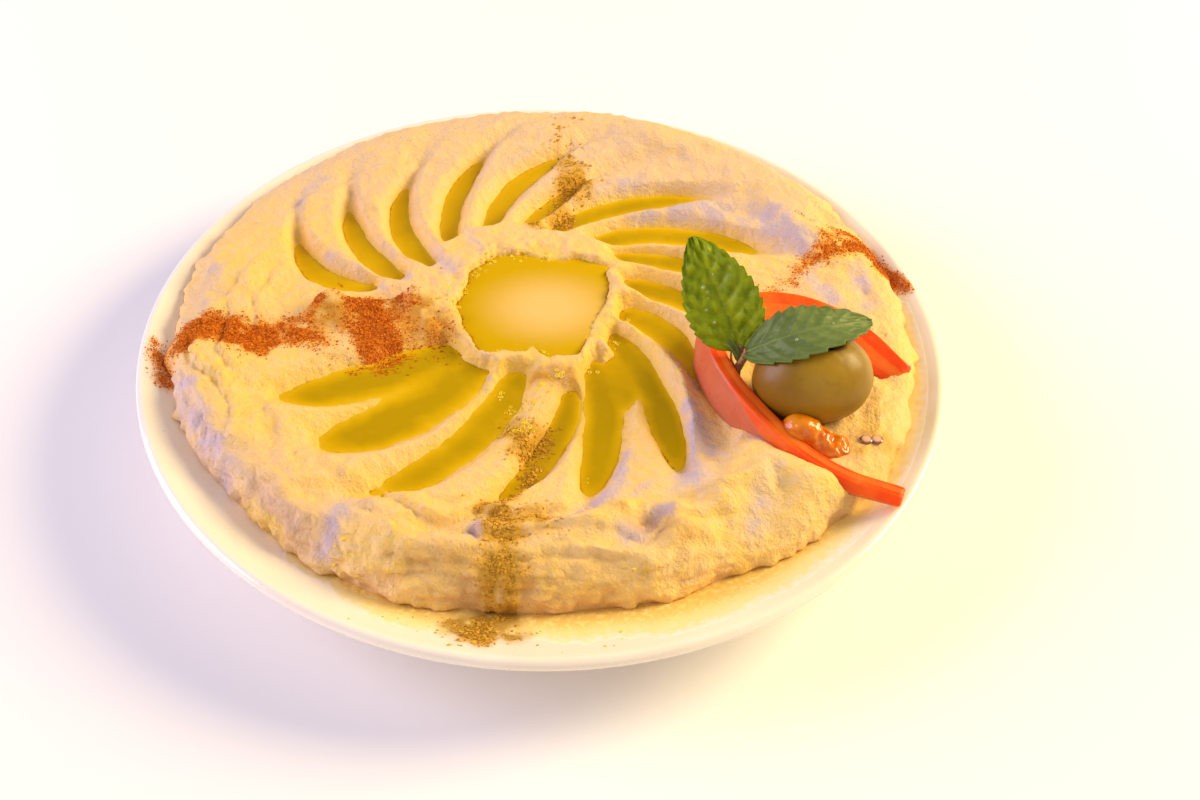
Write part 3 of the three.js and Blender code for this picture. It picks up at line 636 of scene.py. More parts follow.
def hummusTop(x, y, detail=True):
    q, degrees = polar(x, y)
    edge = edgeReach(degrees)
    power = strokeShape["blend"]
    cut = sum(strokeDepth(s, q, degrees, edge) ** power for s in strokes) ** (1 / power)
    z = (hummus["field"] + hummus["bankRise"] * smooth(hummus["bankStart"], hummus["bankEnd"], q)
         - cut + hummus["craterRimRise"] * bell(q - hummus["craterRimRadius"],
                                                hummus["craterRimWidth"])
         + lumpRise(x, y) + foldRise(x, y))
    if detail:
        lines = ring(degrees - twist(q), 200 / relief["spoonLineWidth"], q / 15)
        z = (z + relief["soft"] * layered(x, y, relief["softSize"], 2)
             + relief["small"] * layered(x + 50, y, relief["smallSize"], 2)
             + relief["fine"] * layered(x, y + 50, relief["fineSize"], 2)
             + relief["spoonLines"] * lines * smooth(*relief["spoonLineStart"], q)
             + relief["rim"] * layered(x, y + 90, relief["rimSize"], 2)
             * bell(q - relief["rimRadius"], relief["rimWidth"]))
        near = nearness(degrees)
        strata = ring(degrees, 450 / relief["strataLength"], q / relief["strataWidth"])
        start, end = relief["strataStart"]
        z = z + relief["strata"] * strata * near * smooth(edge - start, edge - end, q)
        # ledges along the near bank, each rising sharply inwards and falling off gently
        turn = (edge - q) / relief["ledgeWidth"] + 1.3 * ring(degrees, 26, 1.5) \
            + 0.5 * ring(degrees, 80, 4)
        turn = turn - np.floor(turn)
        patches = smooth(-0.3, 0.25, ring(degrees, 18, q / 9))
        rough = np.abs(layered(x, y, relief["roughSize"], 3)) - 0.2
        start, end = relief["ledgeStart"]
        z = z + (relief["ledge"] * (smooth(0, relief["ledgeRise"], turn) - turn) * patches
                 + relief["rough"] * rough) * near * smooth(edge - start, edge - end, q)
    oilEdge = craterReach(degrees)
    if detail:
        oilEdge = oilEdge + 0.4 * ring(degrees, 70, 4) + 0.25 * ring(degrees, 160, 9)
    z = mix(hummus["craterFloor"], z,
            smooth(oilEdge - craterEdge["inside"], oilEdge + craterEdge["outside"], q))
    floor = plateTop(np.hypot(x, y))
    inward = np.clip((edge - q) / shoulderWidth(degrees), 0, 1)
    z = mix(floor + hummus["edgeLip"], z, np.sqrt(1 - (1 - inward) ** hummus["shoulderPower"]))
    return np.maximum(z, floor + hummus["edgeLip"])


print("forms ready")

# hummus

hummusMesh = {
    "columns": 520, "topRows": 124, "sideRows": 30, "footRows": 3, "underRows": 7,
    "circleShare": 0.78, "circleReach": 56, "undercut": 0.7, "clear": 0.03,
    "shoulderRound": 0.909, "sideStart": 0.93, "sideFull": 0.5,
    # its top starts this far above the plate
    "above": 0.3,
    # painted shade in hollows: the depth below the smooth top from which it starts and the span to
    # its full strength, and the distances between which it sets in
    "hollow": (0.1, 1.3), "paintedHollowShadeStart": (44, 56),
    # painted mauve shade, a little over the far side
    "farPaintedShade": 0.3, "farPaintedShadeStart": (30, 60),
}


def hummusPlace(across, along):
    shape = hummusMesh
    rows = shape["topRows"], shape["sideRows"], shape["footRows"], shape["underRows"]
    row = along * sum(rows)
    turn = across * 360
    atEdge = turn + hummus["columnTwist"] * hummus["twistReach"]
    edge, width = edgeReach(atEdge), shoulderWidth(atEdge)
    t = np.clip(row / rows[0], 0, 1)
    q = np.where(t < shape["circleShare"], shape["circleReach"] * t / shape["circleShare"],
                 mix(shape["circleReach"], edge - width,
                     np.clip((t - shape["circleShare"]) / (1 - shape["circleShare"]), 0, 1)))
    t = np.clip((row - rows[0]) / rows[1], 0, 1)
    q = q + width * np.sin(t * math.pi / 2) ** shape["shoulderRound"]
    t = np.clip((row - rows[0] - rows[1]) / rows[2], 0, 1)
    q = q - shape["undercut"] * t
    under = np.clip((row - sum(rows[:3])) / rows[3], 0, 1)
    q = q * (1 - under)
    degrees = np.where(under > 0, atEdge, turn + twist(q))
    x, y = fromCrater(q, degrees)
    floor = plateTop(np.hypot(x, y))
    top = hummusTop(x, y)
    z = np.where(row <= rows[0] + rows[1] + 0.01, top,
                 floor + mix(hummus["edgeLip"], shape["clear"], t))
    # the side face is ragged and knobbly: its points move in and out
    onSide = (row - rows[0] * shape["sideStart"]) / (rows[1] * shape["sideFull"])
    onSide = np.clip(onSide, 0, 1) * (under <= 0) * (1 - t)
    swells, up = 500 / relief["knobSize"], z / relief["knobSize"]
    knobs = np.abs(ring(degrees, swells, up * 1.3)) - 0.3 \
        + 0.5 * np.abs(ring(degrees, swells * 2.1, up * 2.6)) - 0.15
    push = relief["ragged"] * ring(degrees, 100, z / 3) + relief["knobs"] * knobs
    push = push * np.clip((z - floor) / 3, 0.2, 1) * nearness(degrees)
    foot = bell(z - floor - hummus["edgeLip"], relief["footHeight"]) * relief["footWobble"]
    push = (push + foot * (ring(degrees, 130, 2) + 0.7 * ring(degrees, 300, 7))) * onSide
    outX, outY = awayBy(push, degrees)
    return x + outX, y + outY, z


def spiceDensity(x, y, bands):
    # each band is a soft capsule: two ends, width and strength
    total = 0
    for ax, ay, bx, by, width, strength in bands:
        length = math.hypot(bx - ax, by - ay) or 1
        share = np.clip(((x - ax) * (bx - ax) + (y - ay) * (by - ay)) / length ** 2, 0, 1)
        away = np.hypot(x - mix(ax, bx, share), y - mix(ay, by, share))
        total = total + strength * bell(away, width)
    return np.clip(total * (1 + 0.75 * layered(x, y, 2.8, 2)), 0, 1)


def storeBands(mesh, x, y, onTop=1, **bands):
    # an attribute for each named list of bands
    for name, parts in bands.items():
        store(mesh, name, spiceDensity(x, y, parts) * onTop)


# two ends, width and strength
paprikaBands = [
    (-80, -4, -77, -1, 2.6, 1.0), (-77, -1, -74, 1, 3.0, 1.1), (-74, 1, -65, 0, 3.2, 1.1),
    (-65, 0, -61, -1, 3.0, 0.9), (-69, -2, -63, -6, 2.2, 0.8), (-61, 2, -56, 3, 2.8, 0.4),
    (-57, 2, -51, -2, 3.4, 0.3), (-54, -1, -48, -6, 3.0, 0.25), (-54, 0, -51, 8, 1.2, 0.35),
    (-51, 8, -48, 10, 1.0, 0.5), (-43, 8, -40, 4, 2.6, 0.9), (-40, 6, -38, 0, 3.4, 1.0),
    (-38, 1, -35, -6, 3.8, 1.05), (-38, -4, -33, -4, 2.6, 0.7), (-39, 9, -31, 9, 2.6, 0.55),
    # the weak, wide bands on the crest face, the last two here and the first below, tint it tan:
    # part paprika dust, part painted shade of its hollow
    (-32, 11, -30, 12, 1.6, 0.5), (-34, 6, -23, 1, 5.0, 0.22), (-34, 1, -26, -1, 4, 0.18),
    (-52, 3, -45, 5, 4.5, 0.1), (-86, -3, -83, -12, 2.0, 0.75), (-88, 0, -83, -1, 1.4, 0.35),
    (-70, -6, -62, -8, 2.4, 0.14), (-42, -10, -41, -9, 1.0, 0.5), (-36, -10, -35, -10, 0.6, 0.6),
    (-47, 19, -47, 20, 0.7, 0.6), (70, 36, 77, 34, 1.7, 0.85), (66, 33, 71, 31, 1.6, 0.45),
    (65, 28, 77, 31, 2.0, 0.95), (77, 31, 80, 25, 2.2, 1.0), (80, 26, 85, 21, 1.9, 0.9),
    (57, 19, 62, 26, 2.2, 0.32), (52, 15, 57, 18, 1.8, 0.3), (60, 45, 65, 38, 1.2, 0.08),
]
cuminBands = [
    (-4, -32, -4, -35, 3.0, 1.0), (-7, -28, 1, -30, 3.0, 0.45), (1, -32, -3, -42, 2.4, 0.38),
    (-3, -42, -7, -49, 2.4, 0.42), (-12, -53, -11, -51, 1.7, 0.9), (-10, -51, -9, -54, 2.2, 0.6),
    (-9, -54, 0, -58, 3.4, 0.34), (-9, -58, -8, -64, 3.2, 0.5), (-8, -62, -8, -72, 3.4, 0.42),
    (-9, -68, -8, -74, 3.2, 0.4), (-12, -77, -12.5, -80, 3.5, 1.2), (-17, -78, -5, -80, 3.0, 0.3),
    (-22, -76, 0, -81, 4.0, 0.06), (-5, -50, 4, -62, 4.0, 0.12), (-2, 40, 5, 43, 2.2, 0.9),
    (4, 46, 7, 56, 3.6, 0.62), (7, 56, 6, 62, 3.4, 0.5), (4, 68, 5, 81, 3.4, 0.16),
    (7, 50, 11, 54, 3, 0.2),
]
# where oil has soaked in and browned the paste; the bands on the crest face also paint the shade of
# its hollow
oilStainAndShadeBands = [
    (-51, 5, -45, 6, 3.4, 1.0), (-42, 5, -38, 8, 3, 0.6), (-35, 7, -27, 6, 3.8, 0.95),
    (-29, 3, -23, 0, 4.2, 0.95), (-23, -1, -20, -5, 2, 0.6), (-4, -12, 2, -14, 3, 0.7),
    (6, -12, 9, -20, 1.6, 0.4), (-8, -60, -8, -74, 5, 0.3), (68, -33, 73, -34, 4, 0.4),
    (62, -36, 67, -38, 3, 0.3), (-6, -30, -1, -36, 2.6, 0.9), (17, -56, 30, -60, 3, 0.25),
    (-60, -48, -48, -58, 4, 0.2), (-30, -66, 12, -70, 2.4, 0.25),
]
# painted mauve shade: where slopes and dips face away from the key light and the pinkish shade
# falls
paintedShadeBands = [
    (-14, -61, -10, -57, 2, 0.9), (8, -54, 15, -47, 1.7, 0.9), (15, -47, 17, -36, 1.8, 0.9),
    (17, -50, 22, -46, 1.4, 0.4), (17, -61, 24, -54, 2.6, 1), (43.5, -55, 47.6, -43, 2.4, 0.9),
    (-43, -61, -39, -50, 2.6, 0.8), (30, -43, 33, -33, 5, 1.1), (33, -33, 32, -22, 2.6, 0.9),
    (54, 39, 61, 31, 3.2, 0.9), (61, 31, 64, 26, 2, 0.7),
    (62, 21, 66, 12, 2.4, 0.9), (73, 24, 74, 10, 2.4, 0.8), (45, -32, 47, -35, 1.6, 0.9),
    (-40, 33, -32, 19, 2, 0.7), (-29, 31, -22, 22, 2.6, 0.7), (-50, 27, -37, 15, 1.6, 0.5),
    (-13, -8, -12, -17, 1.2, 0.8), (4, -14, 8, -22, 1.6, 0.6), (23, 43, 38, 49, 3.4, 0.6),
    (35, 47, 56, 41, 4.5, 0.8), (-19, 36, -15, 29, 1.6, 0.6), (13, 53, 23, 57, 2.4, 0.5),
    (28, 2, 31, -4, 1.6, 0.6), (31, -5, 34, -14, 2, 0.8), (-79, -14, -66, -42, 3.0, 0.9),
    (-62, -44, -48, -58, 2.6, 0.4), (-78, 2, -76, 20, 2.6, 0.6), (-64, 40, -54, 54, 3, 0.4),
]


wetting = {
    # shares of a stroke's half width and length between which it sets in or ends
    "aside": (0.7, 1.05), "start": (-0.2, -0.05), "end": (1.15, 1.4),
    # how far above the oil, at the start of a stroke and further on
    "startHeight": 2.8, "height": 1.7, "startShare": 0.25,
    "rimHeight": 1.1, "rimWidth": 5, "patches": 0.35, "patchSize": 2.2,
}


def wetShare(x, y, z):
    # how soaked with oil the paste is: most just above the oil's edge
    q, degrees = polar(x, y)
    soaked = np.zeros(np.shape(x))
    for stroke in strokes:
        if stroke["pool"] is None:
            continue
        share, aside = strokePlace(stroke, q, degrees)
        near = (1 - smooth(*wetting["aside"], np.abs(aside) / strokeHalf(stroke, share))) \
            * smooth(*wetting["start"], share) * (1 - smooth(*wetting["end"], share))
        high = mix(wetting["startHeight"], wetting["height"],
                   smooth(0, wetting["startShare"], share))
        soaked = np.maximum(soaked, near * (1 - smooth(0.0, high, z - oilLevel)))
    rim = (1 - smooth(0, wetting["rimHeight"], z - craterOilLevel)) \
        * (q < craterReach(degrees) + wetting["rimWidth"])
    patchy = 1 + wetting["patches"] * layered(x, y, wetting["patchSize"], 2)
    return np.clip(np.maximum(soaked, rim) * patchy, 0, 1)


def cuminOn(f, colour, cumin, powder, stain, speck, full, share, least=2.1):
    # ground cumin: an even stain up to a share at its full density, with darker specks where
    # it is thick
    colour = f.blend(cumin.between(0.03, full) * share, colour, stain)
    return f.blend((cumin + powder * 2.6 - least).between(-0.15, 0.15) * 0.8, colour, speck)


def powdered(f, colour, paprika, cumin, rough, bumps, **more):
    # a finish with ground paprika and cumin on it
    powder, tone = f.noise(3000, 2, 0.7), f.noise(1100, 2)
    colour = f.blend(paprika.between(0.02, 0.6) * 0.8, colour, (0.8, 0.35, 0.04))
    red = f.blend(tone.between(0.35, 0.65), (0.4, 0.065, 0.003), (0.72, 0.19, 0.008))
    colour = f.blend((paprika + powder * 2.4 - 1.75).between(-0.12, 0.12), colour, red)
    brown = f.blend(tone.between(0.35, 0.65), (0.43, 0.2, 0.012), (0.62, 0.34, 0.022))
    colour = cuminOn(f, colour, cumin, powder, (0.68, 0.37, 0.042), brown, 0.55, 0.9)
    return f.shade(Base_Color=colour, Roughness=rough.kept(), Normal=f.bumped(bumps), **more)


def hummusFinish():
    f = Finish("hummusPaste")
    wet, paprika, cumin = f.readings("wet", "paprika", "cumin")
    stain, cool, hollow = f.readings("stain", "cool", "hollow")
    soft, fine, grit = f.noise(60, 3), f.noise(420, 4, 0.6), f.noise(1300, 3, 0.6)
    colour = f.blend(soft.between(0.35, 0.65), (0.93, 0.61, 0.155), (0.89, 0.58, 0.22))
    colour = f.blend(fine.between(0.45, 0.6) * 0.5, colour, (0.88, 0.61, 0.31))
    colour = f.blend(grit.between(0.6, 0.72) * 0.35, colour, (0.8, 0.48, 0.14))
    # painted shade: darker tan where the paste sinks into its hollows
    colour = f.blend(hollow * 0.7, colour, (0.78, 0.5, 0.24))
    # painted shade: pinkish mauve where slopes and dips face away from the key light, and a little
    # over the far side
    colour = f.blend((cool * (0.6 + fine * 0.7)).kept(), colour, (0.61, 0.47, 0.46))
    # oil stain, partly painted shade: on the crest face it also paints the shade of its hollow
    colour = f.blend((stain * (0.7 + fine * 1.0)).kept(), colour, (0.6, 0.29, 0.035))
    colour = f.blend(wet * 0.85, colour, (0.86, 0.57, 0.1))
    rough = 0.6 - wet * 0.3 - stain * 0.2 + fine * 0.08
    return powdered(f, colour, paprika, cumin, rough, [(0.8, 1.0, fine), (0.8, 0.3, grit)],
                    Specular_IOR_Level=0.15)


def addHummus():
    shape = hummusMesh
    rows = shape["topRows"] + shape["sideRows"] + shape["footRows"] + shape["underRows"]
    bm = grid(shape["columns"], rows, hummusPlace)
    weld(bm)
    mesh = meshOf(bm, "hummusPiece")
    x, y, z = coordsOf(mesh).T
    onTop = z > plateTop(np.hypot(x, y)) + shape["above"]
    store(mesh, "wet", wetShare(x, y, z) * onTop)
    storeBands(mesh, x, y, onTop, paprika=paprikaBands, cumin=cuminBands, stain=oilStainAndShadeBands)
    # painted mauve shade from the bands, growing over the far side
    cool = spiceDensity(x, y, paintedShadeBands) + shape["farPaintedShade"] * smooth(*shape["farPaintedShadeStart"], y)
    store(mesh, "cool", np.minimum(cool, 1) * onTop)
    q, _ = polar(x, y)
    least, span = shape["hollow"]
    # painted shade in the hollows: how far the paste sinks below its smooth top
    sunk = np.clip((hummusTop(x, y, False) - z - least) / span, 0, 1)
    store(mesh, "hollow", sunk * onTop * smooth(*shape["paintedHollowShadeStart"], q))
    return newObject("hummusPiece", mesh, hummusFinish(), ("hummus",))


hummusPiece = addHummus()
print("hummus ready", len(hummusPiece.data.polygons))

# plate


def plateFinish():
    f = Finish("glaze")
    soft = f.noise(38, 3)
    colour = f.blend(soft.between(0.35, 0.7), (0.97, 0.87, 0.72), (0.94, 0.82, 0.66))
    specks = f.noise(900, 1)
    colour = f.blend(specks.between(0.74, 0.8) * 0.3, colour, (0.6, 0.48, 0.33))
    # painted warm light, with a little oil tint: the plate's right side yellower
    colour = f.blend(f.reading("warm") * 0.5, colour, (0.97, 0.8, 0.46))
    paprika, cumin = f.readings("paprika", "cumin")
    rough = 0.12 + soft * 0.14 + paprika * 0.4 + cumin * 0.4
    return powdered(f, colour, paprika, cumin, rough,
                    [(0.25, 0.3, soft), (0.1, 0.05, f.noise(500, 2))],
                    Coat_Weight=0.3, Coat_Roughness=0.1)


def addPlate():
    underside = plate["wellHeight"] - plate["wall"]
    inner, outer, taper = plate["footInner"], plate["footOuter"], plate["footTaper"]
    profile = [(0, underside), (inner * 0.5, underside), (inner - taper - 0.5, underside),
               (inner - taper + 0.1, underside - 0.3), (inner - 0.1, 0.4), (inner + 0.25, 0),
               (outer - taper - 0.2, 0), (outer - taper * 0.4, 0.3), (outer, 2.4),
               (outer + 0.6, 3.0)]
    for i in range(1, plate["wallSteps"]):
        r = mix(plate["wellRadius"] + 4, wallEnd[0], i / plate["wallSteps"])
        slope = math.atan(float(plateTop(r + 0.5) - plateTop(r - 0.5)))
        profile.append((r + plate["wall"] * math.sin(slope),
                        float(plateTop(r)) - plate["wall"] * math.cos(slope)))
    for i in range(plate["lipSteps"] + 1):
        angle = -math.pi / 2 + plate["lipSlope"] + math.pi * i / plate["lipSteps"]
        profile.append((lipRadius + plate["lipRound"] * math.cos(angle),
                        lipLevel + plate["lipRound"] * math.sin(angle)))
    for i in reversed(range(plate["bowlSteps"])):
        r = mix(plate["wellRadius"], wallEnd[0], i / plate["bowlSteps"])
        profile.append((r, float(plateTop(r))))
    profile += [(plate["wellRadius"] * 0.5, plate["wellHeight"]), (0, plate["wellHeight"])]
    bm = bmesh.new()
    rim = [bm.verts.new((r * mm, 0, z * mm)) for r, z in profile]
    edges = [bm.edges.new(pair) for pair in zip(rim, rim[1:])]
    bmesh.ops.spin(bm, geom=rim + edges, cent=(0, 0, 0), axis=(0, 0, 1), angle=2 * math.pi,
                   steps=plate["turns"], use_merge=True)
    weld(bm)
    mesh = meshOf(bm, "platePiece")
    x, y, z = coordsOf(mesh).T
    onTop = z > plateTop(np.hypot(x, y)) - 0.3
    storeBands(mesh, x, y, onTop, paprika=paprikaBands, cumin=cuminBands)
    # painted warm light, with a little oil tint, round the plate's right side
    turn = turnBetween(np.degrees(np.arctan2(y, x)), plate["warmAngle"])
    store(mesh, "warm", bell(turn, plate["warmSpread"]) * onTop)
    newObject("platePiece", mesh, plateFinish(), ("plate",))


addPlate()
print("plate ready")

# oil

oil = {
    "reach": 0.75, "under": 0.7, "skin": 0.08, "share": (-0.12, 1.3), "beyondCrater": 1.2,
    "farthest": 70, "lowest": 14, "fanDepth": 0.45, "craterDepth": 1.1,
    # the pale middle of the crater: its place, half widths and fading
    "palePlace": (4, -1), "paleHalf": (17, 13), "paleFade": (0.15, 1.15),
}


def oilFinish():
    f = Finish("oilPool")
    deep, pale = f.readings("deep", "pale")
    soft = f.noise(120, 2)
    fine = f.noise(700, 3)
    colour = f.add("ValToRGB", {"stops": [
        (0.0, (0.8, 0.53, 0.06)), (0.1, (0.74, 0.46, 0.01)), (0.4, (0.66, 0.4, 0.0)),
        (1.0, (0.46, 0.29, 0.0))]}, {"Fac": (deep * 0.42 + soft * 0.1).kept()})
    colour = f.blend((pale + fine * 0.12 - 0.06).kept(), colour, (0.84, 0.54, 0.16))
    colour = cuminOn(f, colour, f.reading("cumin"), f.noise(3000, 2, 0.7), (0.5, 0.27, 0.01),
                     (0.34, 0.17, 0.01), 0.7, 0.7, 2)
    return f.shade(Base_Color=colour, Roughness=0.16, Specular_IOR_Level=0.06,
                   Normal=f.bumped([(0.12, 0.3, soft)]))


def keepVerts(bm, kept):
    gone = [v for v, stays in zip(bm.verts, kept) if not stays]
    bmesh.ops.delete(bm, geom=gone, context="VERTS")


def addOilPools(finish):
    # the pools keep the attributes of the hummus under them, such as its cumin
    source = bmesh.new()
    source.from_mesh(hummusPiece.data)
    x, y, z = coordsOf(hummusPiece.data).T
    keepVerts(source, (polar(x, y)[0] <= oil["farthest"]) & (z >= oil["lowest"]))
    topMesh = meshOf(source, "topOnly")
    x, y, z = coordsOf(topMesh).T
    q, degrees = polar(x, y)
    pools = sorted({s["pool"] for s in strokes if s["pool"]})
    edge = edgeReach(degrees)
    cuts = {pool: np.max([strokeDepth(s, q, degrees, edge) for s in strokes
                          if s["pool"] == pool], 0) for pool in pools}
    for pool in [None] + pools:
        level = oilLevel if pool else craterOilLevel
        if pool:
            inside = np.zeros(len(x), bool)
            for stroke in strokes:
                if stroke["pool"] == pool:
                    share, aside = strokePlace(stroke, q, degrees)
                    inside |= ((np.abs(aside) < oil["reach"] * strokeHalf(stroke, share))
                               & (share > oil["share"][0]) & (share < oil["share"][1]))
            inside &= cuts[pool] >= np.max([cuts[other] for other in pools], 0)
        else:
            inside = q < craterReach(degrees) + oil["beyondCrater"]
        inside &= z < level + oil["under"]
        bm = bmesh.new()
        bm.from_mesh(topMesh)
        keepVerts(bm, inside)
        keepVerts(bm, [bool(v.link_faces) for v in bm.verts])
        deepLayer, paleLayer = (bm.verts.layers.float.new(name) for name in ("deep", "pale"))
        below = list(bm.verts)
        ground = [v.co.z / mm for v in below]
        for vertex in secondLayer(bm):
            depth = level - vertex.co.z / mm
            thin = oil["fanDepth"] if pool in strokeShape["fan"] else 1
            vertex[deepLayer] = max(depth, 0) * thin
            vertex.co.z = level * mm
            if not pool:
                (paleX, paleY), (halfX, halfY) = oil["palePlace"], oil["paleHalf"]
                away = math.hypot((vertex.co.x / mm - hummus["x"] - paleX) / halfX,
                                  (vertex.co.y / mm - hummus["y"] - paleY) / halfY)
                vertex[paleLayer] = 1 - float(smooth(*oil["paleFade"], away))
                vertex[deepLayer] = min(vertex[deepLayer], oil["craterDepth"])
        for vertex, height in zip(below, ground):
            vertex.co.z = (min(height, level) - oil["skin"]) * mm
        bmesh.ops.recalc_face_normals(bm, faces=bm.faces)
        node = f"oil_stroke_{pool}" if pool else "oil_crater"
        name = "oil" + node.removeprefix("oil_").title().replace("_", "")
        newObject(name, meshOf(bm, name), finish, (node,))
    bpy.data.meshes.remove(topMesh)


addOilPools(oilFinish())
print("oil ready")

# olive

olive = {
    "middle": (57.4, -21, 28.7), "half": (12.9, 10.2, 10.3), "turn": -4, "pitch": 9, "tilt": 14,
    # the hole and its lip: distance from the hole's middle line and height, in half widths
    "hole": [(0, -0.66), (0.07, -0.66), (0.11, -0.6), (0.14, -0.36), (0.16, -0.16),
             (0.175, -0.07), (0.19, -0.025), (0.215, -0.002)],
    "columns": 96, "rows": 84, "lipAngle": 0.045, "lipDrop": 0.012, "steps": 60,
    # where the painted shade in the hole fades, and the brown towards the left
    "pitShadeFade": (0.16, 0.3), "brownFade": (-0.7, 0.35),
}


def olivePlace(across, along):
    hole = olive["hole"]
    start = math.asin(hole[-1][0])
    angles = np.linspace(start + olive["lipAngle"], math.pi, olive["steps"])
    top = math.cos(start) - olive["lipDrop"]
    out = [r for r, _ in hole] + list(np.sin(angles))
    up = [top + h for _, h in hole] + list(np.cos(angles))
    step = np.r_[0, np.cumsum(np.hypot(np.diff(out), np.diff(up)) ** 0.8)]
    at = along * step[-1]
    out, up = np.interp(at, step, out), np.interp(at, step, up)
    turn = 2 * math.pi * across
    x, y, z = out * np.cos(turn), out * np.sin(turn), up
    dent = 1 + 0.012 * layered(x * 2 + 7, y * 2, 1.1, 2, z * 2 + 5) \
        + 0.004 * layered(x * 9, y * 9, 1.0, 2, z * 9)
    x, z = turned(x, z, -olive["tilt"])
    x, y, z = (v * dent * h for v, h in zip((x, y, z), olive["half"]))
    x, z = turned(x, z, olive["pitch"])
    x, y = turned(x, y, olive["turn"])
    return tuple(v + m for v, m in zip((x, y, z), olive["middle"]))


def oliveFinish():
    f = Finish("oliveSkin")
    soft = f.noise(90, 3)
    mottle = f.noise(420, 4, 0.6)
    pit = f.reading("pit")
    colour = f.blend(soft.between(0.35, 0.68), (0.27, 0.15, 0.007), (0.38, 0.22, 0.008))
    colour = f.blend(mottle.between(0.5, 0.8) * 0.45, colour, (0.17, 0.085, 0.005))
    lit = f.noise(45, 1).between(0.5, 0.7) * 0.4
    colour = f.blend(lit, colour, (0.42, 0.28, 0.012))
    brown = (f.reading("brown") + soft * 0.5 - 0.25).kept()
    colour = f.blend(brown * 0.7, colour, (0.2, 0.085, 0.006))
    # painted shade: the hole and its lip nearly black
    colour = f.blend(pit, colour, (0.06, 0.022, 0.004))
    return f.shade(Base_Color=colour, Roughness=0.32 + mottle * 0.1,
                   Normal=f.bumped([(0.2, 0.3, soft), (0.08, 0.06, mottle)]),
                   Specular_IOR_Level=0.3)


def addOlive():
    bm = grid(olive["columns"], olive["rows"], olivePlace)
    weld(bm)
    mesh = meshOf(bm, "olivePiece")
    x, y, z = ((v - m) / h for v, m, h in zip(coordsOf(mesh).T, olive["middle"], olive["half"]))
    aside = np.hypot(turned(x, z, olive["tilt"])[0], y)
    store(mesh, "pit", (1 - smooth(*olive["pitShadeFade"], aside)) * (z > 0))
    store(mesh, "brown", 1 - smooth(*olive["brownFade"], x + 0.4 * z))
    newObject("olivePiece", mesh, oliveFinish(), ("olive",))


addOlive()
print("olive ready")

# tomato wall

tomato = {
    "edge": [(73.2, -49.8, 22.2), (61.6, -45, 23), (53.6, -39.8, 24.3), (46.2, -32, 26.2),
             (40.1, -23.8, 28), (36.2, -15, 29.2), (35, -6.5, 29.5), (38, 1.5, 29.4),
             (45.5, 5.8, 29.2), (55.5, 6.6, 28.6), (65.5, 3.6, 27.2), (73.5, -2.6, 25.4),
             (80.4, -10.4, 22.8)],
    "frontThickness": 3.6, "backThickness": 8, "endThickness": 5.6, "cutDrop": 2.2,
    "bottom": 18.8, "endBottom": 19.8, "flare": 0.16, "bulge": 0.7, "round": 0.35,
    "columns": 56, "rows": 170, "sinks": 0.25, "endShare": 0.012,
    # shares of its length between which it thickens inside and narrows at the far end, and over
    # which the bottom rises at its tips
    "thickens": (0.48, 0.7), "narrows": (0.93, 1), "nearTip": (0, 0.25), "farTip": (0.8, 1),
    # its length and girth for the cells of the flesh, and their size
    "length": 130, "girth": 14, "cell": 7, "cellInside": 0.35, "cellOutside": 0.06, "cellCut": 0.14,
    # shares of the way round: the skin ends, the seed side starts, the cut face starts
    "skinEnd": 0.32, "insideStart": 0.45, "cutStart": 0.745, "cutCore": (0.8, 0.9),
    "capShare": 0.008, "redInside": (0.76, 0.86),
    # towards the near end the cut reaches down the outside
    "bare": 0.18, "bareStart": (0.18, 0.4), "bareFade": 0.025,
}
tomatoLine = curveThrough(tomato["edge"])


